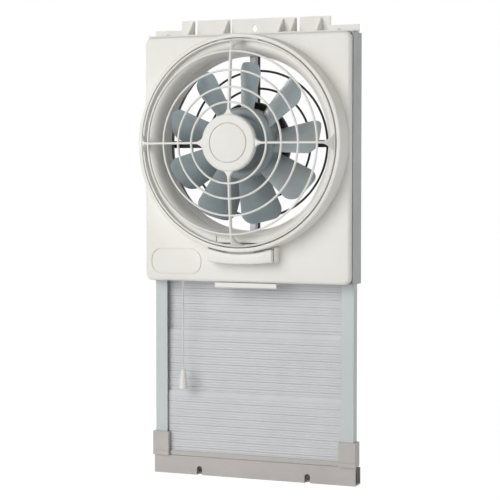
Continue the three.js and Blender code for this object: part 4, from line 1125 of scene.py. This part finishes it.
class FAN_OT_duct(bpy.types.Operator):
    """Finish the main frame with its orifice, the housing and the rear guard"""

    bl_idname = "fan.duct"
    bl_label = "Duct and rear guard"

    def execute(self, context):
        sleeve = traced(
            (ORIFICE_MOUTH, ORIFICE_FRONT),
            ((ORIFICE, ORIFICE_FRONT + 8), (ORIFICE, ORIFICE_BACK), 10))
        sleeve += [(outwards + SLEEVE_WALL, depth) for outwards, depth in reversed(sleeve)]
        duct = Mould().turned(sleeve).piece("orifice_sleeve", "fan_unit", "ivory_plastic")
        for piece in (duct, self.tray()):
            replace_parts(piece, "main_frame")
        carry_over("housing", "housing_paint", soften=0.9)
        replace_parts(self.rear_grille(), "rear_guard")
        for corner in ("top_left", "top_right", "bottom_right", "bottom_left"):
            carry_over(f"rear_guard_screw_{corner}", "screw_steel", soften=0.2)
        self.coil_spring()
        return {"FINISHED"}

    def coil_spring(self):
        """The coil under the tab's arm, at its rest length; the real coil shortens as the tab is
        pressed.
        """
        rings = []
        steps = SPRING_TURNS * SPRING_STEPS
        for step in range(steps + 1):
            angle = step / SPRING_STEPS * 2 * pi
            outwards = Vector((cos(angle), sin(angle), 0))
            middle = Vector((0, SPRING_DEPTH, SPRING_LOW + SPRING_RISE * step / steps))
            middle += outwards * SPRING_RADIUS
            along = Vector((-sin(angle), cos(angle), SPRING_SLOPE)).normalized()
            across = along.cross(outwards)
            rings.append([
                middle + (outwards * cosine + across * sine) * SPRING_WIRE
                for cosine, sine in circle(8)
            ])
        coil = Mould().rings(rings).piece("coil_spring", "fan_unit", "screw_steel", corner=60)
        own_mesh(coil)
        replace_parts(coil, "latch_spring")

    def tray(self):
        """The square tray behind the panel, with its round airway."""
        half = PANEL_WIDTH / 2 - FRAME_INSET
        low, high = PANEL_BOTTOM + FRAME_INSET, PANEL_BOTTOM + PANEL_HEIGHT - FRAME_INSET
        middle = (low + high) / 2
        outer = spread_outline(
            rounded_rectangle(2 * half, high - low, PANEL_CORNER - 3, 0, middle), 14)

        def airway(depth):
            return round_ring(outer, depth, ORIFICE + 2)

        def drawn(depth, inset):
            return shrunk_ring(outer, depth, inset, half, high - middle, middle)

        back = FRAME_FRONT + FRAME_WALL
        rings = [
            airway(FRAME_FRONT), drawn(FRAME_FRONT, 0.5), drawn(FRAME_FRONT + 0.5, 0),
            drawn(FRAME_BACK, 0), drawn(FRAME_BACK, FRAME_WALL), drawn(back, FRAME_WALL),
            airway(back),
        ]
        return Mould().rings(rings, closed=True).piece(
            "frame_tray", "fan_unit", "ivory_plastic", cutters=[cutter(*FRAME_ARM_HOLE)])

    def rear_grille(self):
        """Two round rings, an upright bar and a flat strap in a flanged hoop."""
        guard = Mould()
        for radius in REAR_RINGS:
            guard.turned([
                (radius + REAR_WIRE * across, REAR_MIDDLE + REAR_WIRE * along)
                for across, along in circle(12)
            ], ROUND_REAR)
        inner, outer, back = REAR_REACH - HOOP_HALF, REAR_REACH + HOOP_HALF, REAR_FRONT + 4.4
        guard.turned([(inner, REAR_FRONT), (inner, back), (outer, back), (outer, REAR_FRONT)])
        reach = REAR_REACH - 1
        guard.block((-2.5, REAR_FRONT, AXIS - reach), (2.5, REAR_FRONT + 4, AXIS + reach))
        guard.block((-reach, REAR_FRONT + 0.6, AXIS - 5.5), (reach, REAR_FRONT + 3.4, AXIS + 5.5))
        return guard.piece("rear_grille", "fan_unit", "guard_plastic", soften=0.5)


# ---- filler frame

class FAN_OT_filler(bpy.types.Operator):
    """Finish the top flange, the rails, the filler boards and the sill"""

    bl_idname = "fan.filler"
    bl_label = "Filler frame"

    def execute(self, context):
        carry_over("top_flange", "ivory_plastic", soften=0.4)
        for board in ("upper_board", "middle_board", "lower_board"):
            carry_over(board, "board_plastic", soften=0, corner=10)
        carry_over("sill_plate", "sill_plastic", soften=0.5)
        for side in ("left", "right"):
            carry_over(f"{side}_rail", "rail_plastic", soften=0.5)
            carry_over(f"{side}_foot_bracket", "sill_plastic", soften=0.7)
            carry_over(f"flange_screw_{side}", "screw_steel", soften=0.2)
            carry_over(f"height_screw_{side}", "black_plastic", soften=0.5)
        return {"FINISHED"}


# ---- panel in the sidebar

OPERATORS = (
    FAN_OT_stage, FAN_OT_pull_cord, FAN_OT_front_panel, FAN_OT_front_guard, FAN_OT_rotor,
    FAN_OT_motor, FAN_OT_duct, FAN_OT_filler,
)


class FAN_PT_sidebar(bpy.types.Panel):
    """Lists the fan's settings and pieces"""

    bl_idname = "FAN_PT_sidebar"
    bl_label = "Window Fan"
    bl_space_type = "VIEW_3D"
    bl_region_type = "UI"
    bl_category = "Window Fan"

    def draw(self, context):
        for settings in (getattr(context.scene, name) for name in SETTINGS):
            box = self.layout.box()
            for name in settings.bl_rna.properties.keys():
                if name not in ("rna_type", "name"):
                    box.prop(settings, name)
        for operator in OPERATORS:
            self.layout.operator(operator.bl_idname)


SETTINGS = {"fan_colours": FanColours, "fan_sizes": FanSizes, "fan_studio": StudioSettings}
CLASSES = (*SETTINGS.values(), *OPERATORS, FAN_PT_sidebar)


def register():
    for each in CLASSES:
        bpy.utils.register_class(each)
    for name, kind in SETTINGS.items():
        setattr(bpy.types.Scene, name, bpy.props.PointerProperty(type=kind))


def unregister():
    for name in SETTINGS:
        delattr(bpy.types.Scene, name)
    for each in reversed(CLASSES):
        bpy.utils.unregister_class(each)


def main():
    register()
    FINISHES.update(make_finishes(bpy.context.scene.fan_colours))
    for operator in OPERATORS:
        getattr(bpy.ops.fan, operator.bl_idname.removeprefix("fan."))()


if __name__ == "__main__":
    main()
